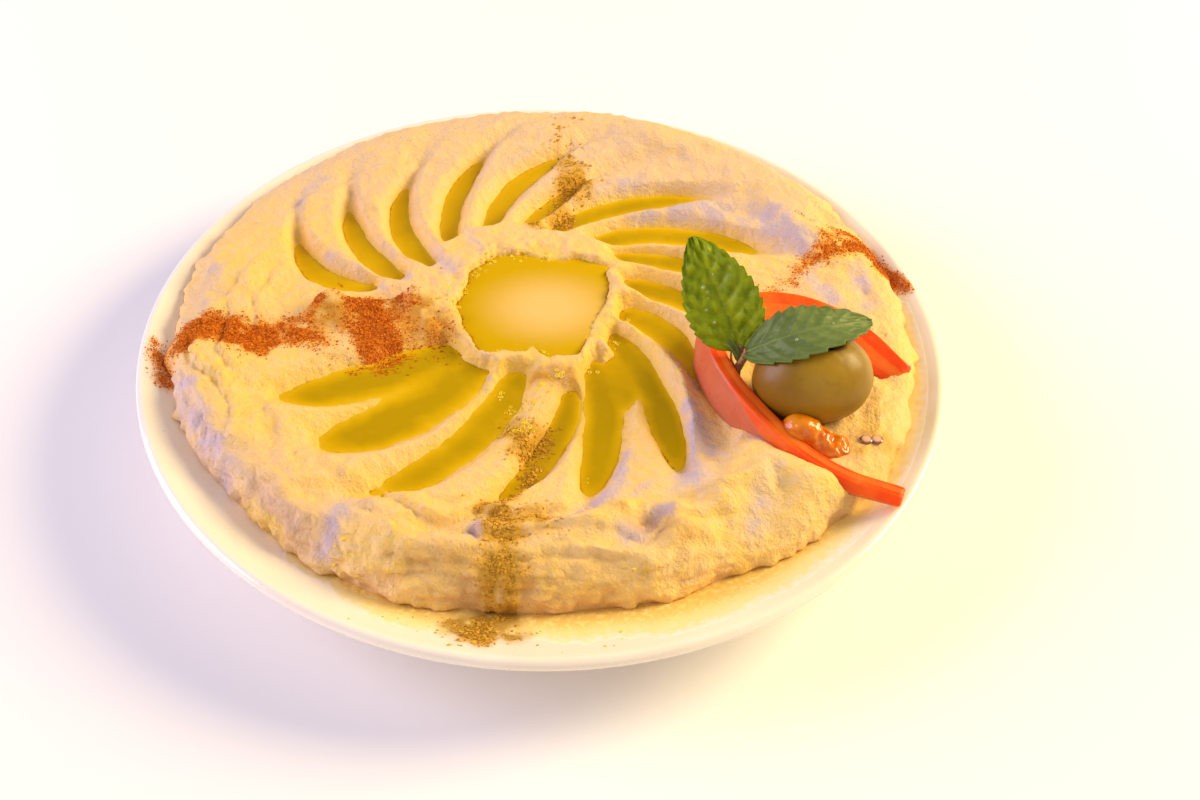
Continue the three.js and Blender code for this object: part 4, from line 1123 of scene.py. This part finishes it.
def tomatoPlace(across, along):
    # across goes down the skin, along the bottom, up the flesh and over the cut face
    end = tomato["endShare"]
    share = np.clip((along - end) / (1 - 2 * end), 0, 1)
    point = tomatoLine(share)
    ahead = tomatoLine(np.clip(share + 0.01, 0, 1)) - tomatoLine(np.clip(share - 0.01, 0, 1))
    ahead[..., 2] = 0
    ahead /= np.linalg.norm(ahead, axis=-1, keepdims=True)
    out = np.stack([-ahead[..., 1], ahead[..., 0], 0 * share], -1)
    inner = smooth(*tomato["thickens"], share)
    thick = mix(mix(tomato["frontThickness"], tomato["backThickness"], inner),
                tomato["endThickness"], smooth(*tomato["narrows"], share))
    drop = tomato["cutDrop"] * inner
    tip = 1 - smooth(*tomato["nearTip"], share) + smooth(*tomato["farTip"], share)
    deep = point[..., 2] - mix(tomato["bottom"], tomato["endBottom"], tip) + tomato["sinks"]
    foot = tomato["flare"] * deep
    r, level = tomato["round"], 0 * share
    # the section's corners: share of the way round, distance out and height from the top edge
    corners = [
        (0, level - r, level), (0.02, level, level - r), (0.16, 0.4 * foot + tomato["bulge"],
                                                          -0.45 * deep),
        (0.3, foot, -deep + r), (0.32, foot - r, -deep), (0.44, foot - thick + r, -deep),
        (0.46, foot - thick, -deep + r), (0.6, 0.45 * foot - thick, -0.5 * deep - 0.5 * drop),
        (0.74, -thick, -drop - r), (0.76, -thick + r, -drop), (0.87, -0.5 * thick, -0.5 * drop),
        (1, level - r, level),
    ]
    a, z = np.zeros(share.shape), np.zeros(share.shape)
    for (t0, a0, z0), (t1, a1, z1) in zip(corners, corners[1:]):
        t = (across - t0) / (t1 - t0)
        here = (t >= 0) & (t <= 1)
        a, z = np.where(here, mix(a0, a1, t), a), np.where(here, mix(z0, z1, t), z)
    around = 2 * np.pi * across
    skin = np.clip((across - 0.02) / 0.28, 0, 1)
    a = a + 0.35 * tomato["bulge"] * np.sin(np.pi * skin)
    cell = layered(share * tomato["length"], tomato["girth"] * np.cos(around), tomato["cell"], 3,
                   3 * np.sin(around))
    inside, onCut = (across > 0.45) & (across < 0.74), (across > 0.77) & (across < 0.98)
    a = a + cell * np.where(inside, tomato["cellInside"], tomato["cellOutside"])
    z = z + cell * np.where(onCut, tomato["cellCut"], 0)
    # the ends are drawn in to a flat face with a rounded edge
    close = np.minimum(along, 1 - along) / end
    shrink = r * (1 - np.sqrt(1 - (1 - np.clip(close, 0, 1)) ** 2))
    middleA, middleZ = 0.5 * (foot - thick), -0.5 * deep - 0.3 * drop
    reach = np.maximum(np.hypot(a - middleA, z - middleZ), 0.1)
    a, z = mix(a, middleA, shrink / reach), mix(z, middleZ, shrink / reach)
    spot = point + out * a[..., None] + ahead * (np.sign(along - 0.5) * shrink)[..., None]
    return spot[..., 0], spot[..., 1], spot[..., 2] + z


def tomatoFinish():
    f = Finish("tomatoFlesh")
    skin, cut = f.readings("skin", "cut")
    soft = f.noise(70, 3)
    fibre = f.noise(600, 3)
    flesh = f.blend(soft.between(0.35, 0.7), (0.78, 0.15, 0.055), (0.72, 0.22, 0.11))
    face = f.blend(soft.between(0.4, 0.62), (0.9, 0.075, 0.001), (0.93, 0.15, 0.005))
    face = f.blend(cut.between(1.2, 2.0) * 0.55, face, (0.95, 0.24, 0.02))
    colour = f.blend(cut.between(0.2, 0.8), flesh, face)
    skinColour = f.blend(soft.between(0.3, 0.7), (0.58, 0.12, 0.045), (0.62, 0.18, 0.09))
    colour = f.blend(skin, colour, skinColour)
    colour = f.blend(fibre.between(0.55, 0.8) * 0.18, colour, (0.93, 0.3, 0.1))
    return f.shade(Base_Color=colour, Roughness=(0.34 - skin * 0.1 + fibre * 0.1).kept(),
                   Normal=f.bumped([(0.3, 0.25, soft), (0.2, 0.1, fibre)]),
                   Specular_IOR_Level=0.25, Subsurface_Weight=0.4,
                   Subsurface_Radius=(0.006, 0.0014, 0.0004), Subsurface_Scale=1.0)


def addTomato():
    bm = bmesh.new()
    skinLayer, cutLayer = (bm.verts.layers.float.new(name) for name in ("skin", "cut"))
    points, across, along = sheet(bm, tomato["columns"], tomato["rows"])
    spots = np.stack(tomatoPlace(across, along), -1) * mm
    fade, cutStart, core = tomato["bareFade"], tomato["cutStart"], tomato["cutCore"]
    for vertex, spot, a, s in zip(points, spots, across, along):
        vertex.co = spot
        atEnd = min(s, 1 - s) < tomato["capShare"]
        below = 0.01 + tomato["bare"] * float(1 - smooth(*tomato["bareStart"], s))
        skinned = float(a > below)
        if below > 0.02:
            skinned = float(smooth(below - fade, below + fade, a))
        skinned *= float(a < tomato["skinEnd"] and not atEnd)
        inside = float(tomato["insideStart"] < a <= cutStart)
        vertex[skinLayer] = skinned
        vertex[cutLayer] = (max(float(a > cutStart or atEnd), (1 - skinned) * float(a < 0.3))
                            + 0.8 * float(core[0] < a < core[1])
                            + inside * float(smooth(*tomato["redInside"], s)))
    bmesh.ops.remove_doubles(bm, verts=bm.verts, dist=1e-6)
    closeHoles(bm)
    bmesh.ops.recalc_face_normals(bm, faces=bm.faces)
    mesh = meshOf(bm, "tomatoPiece")
    newObject("tomatoPiece", mesh, tomatoFinish(), ("tomato_wall",))


addTomato()
print("tomato ready")

# tomato pulp and seeds

pulp = {
    # middle and half widths of each soft drop
    "drops": [(54.6, -32.4, 24, 4.6, 3.5, 3.9), (60.2, -34.8, 22.2, 4.6, 3.5, 1.8),
              (57.6, -33.4, 22.8, 3.8, 3.2, 2.6), (62.6, -34.2, 21.9, 2.4, 2.2, 1.5),
              (51.4, -30.6, 22.8, 2.2, 1.8, 2)],
    "turn": -25, "voxel": 0.24, "evenings": 8,
    # the size of its lumps, and their height from the left part to the right part
    "lumpSize": 1.7, "lumpRise": (0.1, 0.34), "lumpFade": (55, 59),
}
seeds = {"places": [(68.2, -33.3), (70.5, -33)], "radius": 1.45, "narrow": 0.9, "height": 0.5,
         "lift": 0.2}


def pulpFinish():
    f = Finish("tomatoPulp")
    soft = f.noise(260, 3)
    colour = f.blend(soft.between(0.35, 0.65), (0.6, 0.11, 0.0), (0.8, 0.27, 0.004))
    return f.shade(Base_Color=colour, Roughness=0.12 + soft * 0.08,
                   Normal=f.bumped([(0.6, 0.7, soft), (0.3, 0.2, f.noise(800, 2))]),
                   Specular_IOR_Level=0.5, Subsurface_Weight=0.3,
                   Subsurface_Radius=(0.004, 0.0015, 0.0001), Subsurface_Scale=0.4)


def addPulp():
    bm = bmesh.new()
    for x, y, z, a, b, c in pulp["drops"]:
        place = (Matrix.Translation(Vector((x, y, z)) * mm)
                 @ Matrix.Rotation(math.radians(pulp["turn"]), 4, "Z")
                 @ Matrix.Diagonal((a * mm, b * mm, c * mm, 1)))
        bmesh.ops.create_icosphere(bm, subdivisions=4, radius=1, matrix=place)
    shape = placed("pulpDrops", meshOf(bm, "pulpDrops"))
    remesh = shape.modifiers.new("joined", "REMESH")
    remesh.mode = "VOXEL"
    remesh.voxel_size = pulp["voxel"] * mm
    even = shape.modifiers.new("even", "SMOOTH")
    even.factor, even.iterations = 0.5, pulp["evenings"]
    ready = shape.evaluated_get(bpy.context.evaluated_depsgraph_get())
    mesh = bpy.data.meshes.new_from_object(ready)
    bpy.data.objects.remove(shape)
    mesh.name = "pulpPiece"
    x, y, z = coordsOf(mesh).T
    size = pulp["lumpSize"]
    lumpy = layered(x, y, size, 2, z / size) * mix(*pulp["lumpRise"], smooth(*pulp["lumpFade"], x))
    normals = [vertex.normal.copy() for vertex in mesh.vertices]
    for vertex, normal, push in zip(mesh.vertices, normals, lumpy):
        vertex.co += normal * float(push) * mm
    soften(mesh)
    newObject("pulpPiece", mesh, pulpFinish(), ("tomato_pulp",))


def seedFinish():
    f = Finish("tomatoSeed")
    rim = f.reading("rim")
    colour = f.blend(rim.between(0.5, 0.8), (0.8, 0.46, 0.27), (0.24, 0.08, 0.03))
    return f.shade(Base_Color=colour, Roughness=0.16, Coat_Weight=0.6, Coat_Roughness=0.06,
                   Normal=f.bumped([(0.2, 0.1, f.noise(900, 2))]))


def addSeeds():
    bm = bmesh.new()
    layer = bm.verts.layers.float.new("rim")
    for x, y in seeds["places"]:
        z = surfaceAt(x, y)[0] + seeds["lift"]
        size = seeds["radius"] * mm, seeds["radius"] * seeds["narrow"] * mm, seeds["height"] * mm
        place = Matrix.Translation(Vector((x, y, z)) * mm) @ Matrix.Diagonal((*size, 1))
        made = bmesh.ops.create_uvsphere(bm, u_segments=32, v_segments=18, radius=1, matrix=place)
        for vertex in made["verts"]:
            away = math.hypot(vertex.co.x / mm - x, vertex.co.y / mm - y) / seeds["radius"]
            vertex[layer] = away
    newObject("seedPieces", meshOf(bm, "seedPieces"), seedFinish())


addPulp()
print("pulp ready")

# mint

mint = {
    "thickness": 0.4, "rows": 96, "columns": 44, "stemSides": 14, "stemRows": 18,
    "leaves": [
        {"base": (42.5, -14.4, 31), "bow": (37.7, -9.5, 42), "tip": (31.1, -0.3, 50),
         "side": (0.9, 0.11, 0.42), "width": 17, "bite": 0.1, "broad": 0.74, "blunt": 0.66,
         "lean": 0.12, "cup": 0.16, "teeth": 11, "pucker": 0.6, "veins": 7},
        {"base": (42.6, -16.6, 31.5), "bow": (54.5, -23.5, 46.8), "tip": (70.2, -12.3, 37.2),
         "side": (-0.28, 0.95, 0.05), "width": 14.5, "bite": 0.14, "broad": 0.92, "blunt": 0.72,
         "lean": -0.05, "cup": -0.1, "teeth": 9, "pucker": 0.26, "veins": 8},
        {"base": (42, -15.8, 28.6), "bow": (41, -14.2, 33), "tip": (38.9, -12.6, 33),
         "side": (0.6, 0.75, 0.2), "width": 3.2, "bite": 0.1, "broad": 0.8, "blunt": 0.8,
         "lean": 0, "cup": 0.1, "teeth": 3, "pucker": 0.05, "veins": 3},
    ],
    # points and radius at each end
    "stems": [
        ([(42, -16.4, 20.4), (41.9, -16.2, 24.5), (42, -15.8, 27.6)], 0.75, 0.7),
        ([(42, -15.8, 27.2), (42.6, -14.6, 29), (42.4, -14.2, 31.6)], 0.6, 0.5),
        ([(42, -15.8, 27.2), (42.4, -16.6, 29.5), (43.2, -16.9, 32.6)], 0.6, 0.5),
        ([(42.2, -16.2, 26), (43.6, -15.6, 29), (44.6, -15.2, 31.5)], 0.4, 0.22),
        ([(41.8, -16.2, 26), (40.4, -15.6, 28.4), (40.2, -15.2, 30.6)], 0.4, 0.22),
    ],
}


def leafShape(leaf, aside, share):
    # aside runs from edge to edge as -1 to 1, share from stalk to tip
    base, bow, tip = (np.array(leaf[k], float) for k in ("base", "bow", "tip"))
    s = share[:, None]
    spine = (1 - s) ** 2 * base + 2 * s * (1 - s) * bow + s ** 2 * tip
    ahead = 2 * (1 - s) * (bow - base) + 2 * s * (tip - bow)
    ahead /= np.linalg.norm(ahead, axis=1, keepdims=True)
    side = np.array(leaf["side"], float)
    side = side - ahead * (ahead @ side)[:, None]
    side /= np.linalg.norm(side, axis=1, keepdims=True)
    up = np.cross(side, ahead)
    full = np.sin(np.pi * np.clip(share, 0.012, 0.99) ** leaf["broad"]) ** leaf["blunt"]
    saw = (share * leaf["teeth"] + 0.12 * np.sign(aside)) % 1
    tooth = 1 - leaf["bite"] * (1 - saw ** 0.8) * smooth(0.06, 0.3, share) * np.abs(aside) ** 3
    half = 0.5 * leaf["width"] * full * tooth
    wave = 0.3 * np.sin(9 * share + 2 * aside) * np.abs(aside)
    rank = share * leaf["veins"] - np.abs(aside) ** 1.15 * 1.5 + 0.2 * np.sign(aside)
    toVein = np.abs((rank + 0.5) % 1 - 0.5)
    vein = bell(toVein, 0.085) * (1 - np.abs(aside) ** 4) * (1 - bell(share, 0.05))
    rib = bell(aside * half, 0.35) * (1 - share * 0.6)
    puffs = 0.5 - np.cos(np.pi * np.clip(toVein * 2, 0, 1)) * 0.5
    puffs = puffs * (1 - np.abs(aside) ** 3) * (1 - bell(aside, 0.12)) * smooth(0, 0.2, share)
    blisters = layered(aside * 6 + 3, share * 14, 1.0, 2) * (1 - bell(aside, 0.1))
    lift = (leaf["cup"] * half * aside ** 2 + wave + leaf["lean"] * aside
            + leaf["pucker"] * (puffs - 0.4 * vein + 0.6 * blisters) - 0.35 * rib
            + 0.5 * mint["thickness"])
    return spine + side * (aside * half)[:, None] + up * lift[:, None], rib, vein, blisters


def leafSheet(bm, leaf, layers):
    points, across, share = sheet(bm, mint["columns"], mint["rows"])
    spots, rib, vein, blisters = leafShape(leaf, 2 * across - 1, share)
    for i, vertex in enumerate(points):
        vertex.co = spots[i] * mm
        vertex[layers[0]] = float(max(rib[i], 0.55 * vein[i]))
        # painted light and shade on the puckers follows the blister height
        vertex[layers[1]] = float(blisters[i])
    return points


def facesOf(points, material):
    # the faces at these points, given one of the piece's materials
    faces = list({face for vertex in points for face in vertex.link_faces})
    for face in faces:
        face.material_index = material
    return faces


def mintFinish(name, pale, deep, veinColour):
    f = Finish(name)
    vein, blister = f.readings("vein", "blister")
    soft = f.noise(160, 3)
    fine = f.noise(1300, 3)
    # painted light and shade on the puckers: paler on the raised blisters, darker between them
    colour = f.blend((soft.between(0.35, 0.65) * 0.6 + blister.between(-0.5, 0.7) * 0.5).kept(),
                     deep, pale)
    colour = f.blend(fine.between(0.5, 0.8) * 0.3, colour, tuple(c * 1.5 for c in pale))
    colour = f.blend(vein * 0.4, colour, veinColour)
    return f.shade(Base_Color=colour, Roughness=0.36 + fine * 0.16,
                   Normal=f.bumped([(0.3, 0.2, soft), (0.25, 0.06, fine)]),
                   Specular_IOR_Level=0.2)


def stemFinish():
    f = Finish("mintStem")
    soft = f.noise(300, 2)
    colour = f.blend(soft.between(0.4, 0.6), (0.42, 0.3, 0.12), (0.36, 0.14, 0.08))
    return f.shade(Base_Color=colour, Roughness=0.35, Normal=f.bumped([(0.2, 0.1, soft)]))


def addMint():
    finishes = [
        # lit and shaded copies of one leaf finish: the first leaf painted yellow-green as if lit,
        # the second painted darker and blue-grey for the cool sky sheen it catches
        mintFinish("mintLeafLit", (0.28, 0.355, 0.001), (0.17, 0.24, 0.001), (0.5, 0.55, 0.03)),
        mintFinish("mintLeafPaintedCoolSheen", (0.155, 0.21, 0.05), (0.1, 0.15, 0.03), (0.26, 0.34, 0.1)),
        stemFinish(),
    ]
    stemMaterial = len(finishes) - 1
    bm = bmesh.new()
    layers = [bm.verts.layers.float.new(name) for name in ("vein", "blister")]
    for number, leaf in enumerate(mint["leaves"]):
        faces = facesOf(leafSheet(bm, leaf, layers), min(number, 1))
        bmesh.ops.solidify(bm, geom=faces, thickness=mint["thickness"] * mm)
    for points, startRadius, endRadius in mint["stems"]:
        made, across, share = sheet(bm, mint["stemSides"], mint["stemRows"])
        turn, radius = 2 * math.pi * across, mix(startRadius, endRadius, share)
        for vertex, c, a, r in zip(made, curveThrough(points)(share), turn, radius):
            vertex.co = Vector((c[0] + r * math.cos(a), c[1] + r * math.sin(a), c[2])) * mm
        facesOf(made, stemMaterial)
        bmesh.ops.remove_doubles(bm, verts=made, dist=1e-6)
    for face in closeHoles(bm):
        face.material_index = stemMaterial
    bmesh.ops.remove_doubles(bm, verts=bm.verts, dist=1e-7)
    bmesh.ops.recalc_face_normals(bm, faces=bm.faces)
    piece = newObject("mintPiece", meshOf(bm, "mintPiece"), None, ("mint_sprig",))
    for finish in finishes:
        piece.data.materials.append(finish)


addMint()
print("mint ready")

# what lies on top: seeds, ground spice, bubbles, drops, oil film


def surfaceTree(names):
    spots, faces = [], []
    for name in names:
        mesh = bpy.data.objects[name].data
        start = len(spots)
        spots += [v.co[:] for v in mesh.vertices]
        faces += [[start + i for i in p.vertices] for p in mesh.polygons]
    return BVHTree.FromPolygons(spots, faces)


tree = surfaceTree(["platePiece", "hummusPiece"]
                   + [o.name for o in bpy.data.objects if o.name.startswith("oil")])


def surfaceAt(x, y):
    # height of what shows from above, in millimetres, and the way it faces
    hit, normal, _, _ = tree.ray_cast(Vector((x, y, 60)) * mm, Vector((0, 0, -1)))
    return (hit.z / mm, normal) if hit else (None, None)


def formOf(bm):
    corners = np.array([v.co for v in bm.verts])
    faces = [[v.index for v in face.verts] for face in bm.faces]
    bm.free()
    return corners, faces


def cubeForm():
    bm = bmesh.new()
    bmesh.ops.create_cube(bm, size=1)
    return formOf(bm)


def ballForm(subdivisions):
    bm = bmesh.new()
    bmesh.ops.create_icosphere(bm, subdivisions=subdivisions, radius=1)
    return formOf(bm)


def ringForm(thick, sides=5, steps=9):
    bm = bmesh.new()
    place = Matrix.Translation((1 - thick, 0, 0)) @ Matrix.Rotation(math.pi / 2, 4, "X")
    bmesh.ops.create_circle(bm, segments=sides, radius=thick, matrix=place)
    bmesh.ops.spin(bm, geom=bm.verts[:] + bm.edges[:], cent=(0, 0, 0), axis=(0, 0, 1),
                   angle=2 * math.pi, steps=steps, use_merge=True)
    bmesh.ops.recalc_face_normals(bm, faces=bm.faces)
    bm.verts.index_update()
    return formOf(bm)


def scatterCopies(name, form, places, finish, rng, shaded=False, uneven=0.0):
    # places: turn and size as a matrix, and where to, both in millimetres
    corners, faces = form
    spots, joined, tones = [], [], []
    for turn, to in places:
        shape = corners * (1 + uneven * rng.uniform(-1, 1, (len(corners), 1)))
        start = len(spots) * len(corners)
        joined += [[start + i for i in face] for face in faces]
        spots.append(shape @ np.array(turn).T + to)
        tones += [rng.random()] * len(corners)
    mesh = bpy.data.meshes.new(name)
    mesh.from_pydata(np.vstack(spots) * mm, [], joined)
    if shaded:
        soften(mesh)
    store(mesh, "tone", tones)
    newObject(name, mesh, finish)
    print(name, len(places), "pieces", sum(len(f) - 2 for f in joined), "triangles")


fall = {"within": 90, "limit": 88.5, "highest": 28, "raised": 0.12}


def grainPlaces(facts, rng):
    spots = rng.uniform(-fall["within"], fall["within"], (facts["tries"], 2))
    density = spiceDensity(spots[:, 0], spots[:, 1], facts["bands"]) ** facts["power"]
    inside = np.hypot(spots[:, 0], spots[:, 1]) < fall["limit"]
    chosen = spots[(rng.random(len(spots)) < density) & inside][:facts["count"]]
    places = []
    for x, y in np.vstack([chosen, facts["specks"]]):
        z, normal = surfaceAt(x, y)
        if z is None or z > fall["highest"]:
            continue
        size = rng.uniform(facts["small"], facts["large"]) * rng.choice([1, 1, 1, 1.4])
        sizes = rng.uniform((0.7, 0.6, 0.4), (1.2, 1.0, 0.8)) * size
        lean = Vector((0, 0, 1)).rotation_difference(normal).to_matrix()
        turn = Matrix.Rotation(rng.uniform(0, 6.28), 3, "Z")
        tip = Matrix.Rotation(rng.uniform(-0.7, 0.7), 3, "X")
        places.append((lean @ turn @ tip @ Matrix.Diagonal(sizes),
                       np.array([x, y, z]) + np.array(normal) * size * fall["raised"]))
    return places


def grainFinish(name, dark, light):
    f = Finish(name)
    return f.shade(Base_Color=f.blend(f.reading("tone"), dark, light), Roughness=0.6,
                   Specular_IOR_Level=0.1, Normal=f.bumped([(0.3, 0.05, f.noise(3000, 2))]))


spices = [
    {"name": "paprikaGrains", "bands": paprikaBands, "seed": 3, "count": 14000, "tries": 330000,
     "power": 1.3, "small": 0.16, "large": 0.32,
     "dark": (0.42, 0.06, 0.002), "light": (0.86, 0.28, 0.012),
     "specks": [(-43, -8), (-39, -7), (-26, 3), (-24, 22), (-62, 9)]},
    {"name": "cuminGrains", "bands": cuminBands, "seed": 4, "count": 1900, "tries": 300000,
     "power": 1.6, "small": 0.2, "large": 0.5,
     "dark": (0.42, 0.2, 0.012), "light": (0.8, 0.44, 0.045),
     "specks": [(-16, -50), (-24, -80), (-22, -78), (4, -86), (14, -84), (-28, -76), (-31, -76)]},
]


def addSpices():
    for spice in spices:
        rng = np.random.default_rng(spice["seed"])
        places = grainPlaces(spice, rng)
        finish = grainFinish(spice["name"], spice["dark"], spice["light"])
        scatterCopies(spice["name"], cubeForm(), places, finish, rng, uneven=0.35)


bubbles = {
    # middle, spread and how many
    "groups": [(-12.8, 26.3, 1.2, 14), (-15.4, 21.9, 1.4, 18), (-18.4, 15.5, 1.4, 10),
               (-20, 9.6, 1.2, 10), (-7.6, 27.7, 1.5, 12), (-3.4, 28.4, 1.5, 12),
               (0.8, 27.2, 1.4, 8), (-9.7, -5, 1.4, 4), (0.3, -4.8, 1.4, 4),
               (-8.8, -17.1, 1.6, 8), (-6.1, -20.8, 1.8, 14), (-2.9, -22.3, 2, 22),
               (-0.7, -17.6, 2, 14), (2.4, -14.0, 2, 14), (10.7, -8.6, 1.6, 6),
               (20.5, 16.8, 1.6, 9), (18.4, 7.0, 1.5, 7), (16, 0.2, 1.6, 9),
               (-4.0, -29, 2.4, 26), (30.6, -11.6, 1, 4), (9.4, -42.4, 0.6, 2)],
    "small": 0.2, "large": 0.55, "thick": 0.3,
}
drops = {
    # middle, spread and how many, on the plate
    "groups": [(-40, -62, 3, 10), (-33, -68, 4, 12), (-25, -72, 2, 6), (16, -75, 8, 12)],
    "small": 0.15, "large": 0.5,
    # leaf, share of the way to its tip and aside
    "leafSpots": [(0, 0.55, -0.25), (0, 0.6, -0.32), (0, 0.5, -0.3), (0, 0.42, -0.45),
                  (0, 0.38, -0.05), (0, 0.66, 0.1), (0, 0.3, -0.4), (1, 0.4, -0.2), (1, 0.7, 0.1)],
}


def bubbleFinish():
    f = Finish("oilBubble")
    colour = f.blend(f.reading("tone"), (0.84, 0.55, 0.01), (1.0, 0.8, 0.08))
    return f.shade(Base_Color=colour, Roughness=0.12, Specular_IOR_Level=0.25,
                   Normal=f.bumped([(0.1, 0.05, f.noise(700, 2))]))


def dropFinish():
    f = Finish("waterDrop")
    pale = f.noise(500, 2)
    colour = f.blend(pale.between(0.4, 0.6), (0.5, 0.56, 0.2), (0.62, 0.68, 0.34))
    return f.shade(Base_Color=colour, Roughness=0.04, Specular_IOR_Level=1.0, Alpha=0.55,
                   Normal=f.bumped([(0.1, 0.05, pale)]))


def aroundGroups(facts, rng):
    for x, y, spread, count in facts["groups"]:
        for _ in range(count):
            bx, by = x + rng.normal(0, spread * 0.6), y + rng.normal(0, spread * 0.6)
            z, normal = surfaceAt(bx, by)
            radius = mix(facts["small"], facts["large"], rng.random() ** 1.6)
            yield np.array([bx, by, z]), normal, radius


def addBubbles():
    rng = np.random.default_rng(8)
    places = [(Matrix.Diagonal((radius, radius, radius)), spot + [0, 0, 0.03])
              for spot, _, radius in aroundGroups(bubbles, rng)]
    finish = bubbleFinish()
    # each bubble is drawn as a bright golden ring: a painted ring of highlight round its edge
    scatterCopies("bubbleRings", ringForm(bubbles["thick"]), places, finish, rng, True)
    places = [(Matrix.Diagonal((radius, radius, radius * 0.5)), spot)
              for spot, _, radius in aroundGroups(drops, rng)]
    scatterCopies("oilDrops", ballForm(2), places, finish, rng, True)
    places = []
    for number, share, aside in drops["leafSpots"]:
        leaf = mint["leaves"][number]
        spot = leafShape(leaf, np.array([aside, aside]), np.array([share, share + 0.01]))[0][0]
        radius = rng.uniform(0.25, 0.5)
        places.append((Matrix.Diagonal((radius, radius, radius)), spot))
    scatterCopies("leafDrops", ballForm(2), places, dropFinish(), rng, True)


film = {
    "from": -132, "to": 12, "width": 10, "thickness": 0.25, "limit": 86.6, "columns": 440,
    "rows": 24, "under": 3, "sheetThickness": 0.12, "clear": 0.02, "edgeDrop": 0.1,
    # the width swells round one angle, and its outer edge wanders in long and short waves
    "swell": 0.5, "swellAngle": -62, "swellSpread": 34, "waves": 0.35, "shortWaves": 0.12,
    # towards the right it gets shallower
    "shallow": 0.4, "shallowFrom": (-60, -36),
}


def filmPlace(across, along):
    degrees = mix(film["from"], film["to"], across)
    ends = np.sin(np.pi * np.clip(across, 0.001, 0.999)) ** 0.4
    waves = (1 + film["waves"] * ring(degrees, 60, 3) + film["shortWaves"] * ring(degrees, 240, 5)
             + film["swell"] * bell(turnBetween(degrees, film["swellAngle"]), film["swellSpread"]))
    start = plateReach(degrees)
    width = np.minimum(film["width"] * waves * ends, film["limit"] - start)
    r = start - film["under"] + (width + film["under"]) * along
    x, y = awayBy(r, degrees)
    rise = film["thickness"] * (1 - along) * (1 + 0.5 * layered(x, y, 0.9, 2))
    rise = rise - film["edgeDrop"] * smooth(0.9, 1, along)
    return x, y, plateTop(r) + film["clear"] + rise


def filmFinish():
    f = Finish("oilFilm")
    depth = f.reading("depth")
    mottle = f.noise(700, 3)
    gold = f.blend(mottle.between(0.48, 0.62), (0.86, 0.59, 0.15), (0.95, 0.73, 0.24))
    share = (depth * 1.7 + (mottle - 0.5) * 0.7).kept()
    colour = f.blend(share.between(0.0, 0.55), (0.955, 0.845, 0.69), (0.93, 0.75, 0.32))
    colour = f.blend(share.between(0.5, 1.0), colour, gold)
    colour = cuminOn(f, colour, f.reading("cumin"), f.noise(3000, 2, 0.7), (0.46, 0.27, 0.045),
                     (0.3, 0.16, 0.015), 0.5, 0.95)
    return f.shade(Base_Color=colour, Roughness=0.16, Specular_IOR_Level=0.3,
                   Normal=f.bumped([(0.3, 0.1, mottle)]))


def addFilm():
    bm = grid(film["columns"], film["rows"], filmPlace)
    layer = bm.verts.layers.float.new("depth")
    for number, vertex in enumerate(bm.verts):
        row = number // (film["columns"] + 1)
        degrees = math.degrees(math.atan2(vertex.co.y, vertex.co.x))
        shallow = film["shallow"] * float(smooth(*film["shallowFrom"], degrees))
        vertex[layer] = (1 - row / film["rows"]) * (1 - shallow)
    for vertex in secondLayer(bm):
        vertex.co.z -= film["sheetThickness"] * mm
    bmesh.ops.recalc_face_normals(bm, faces=bm.faces)
    mesh = meshOf(bm, "oilFilm")
    storeBands(mesh, *coordsOf(mesh).T[:2], cumin=cuminBands)
    newObject("oilFilm", mesh, filmFinish())


addSeeds()
addSpices()
addBubbles()
addFilm()
print("toppings ready")

# floor and end


def addFloor():
    bm = bmesh.new()
    bmesh.ops.create_grid(bm, x_segments=1, y_segments=1, size=stage["floorSize"])
    mesh = meshOf(bm, "floor", shaded=False)
    f = Finish("floorPaper")
    soft = f.noise(3, 2)
    paper = f.blend(soft * 0.2, stage["floorColour"][:3], (0.9, 0.89, 0.88))
    mesh.materials.append(f.shade(Base_Color=paper, Roughness=0.8))
    floor = placed("floor", mesh)
    floor.location.z = -stage["floorDrop"]


addFloor()
print("floor ready")
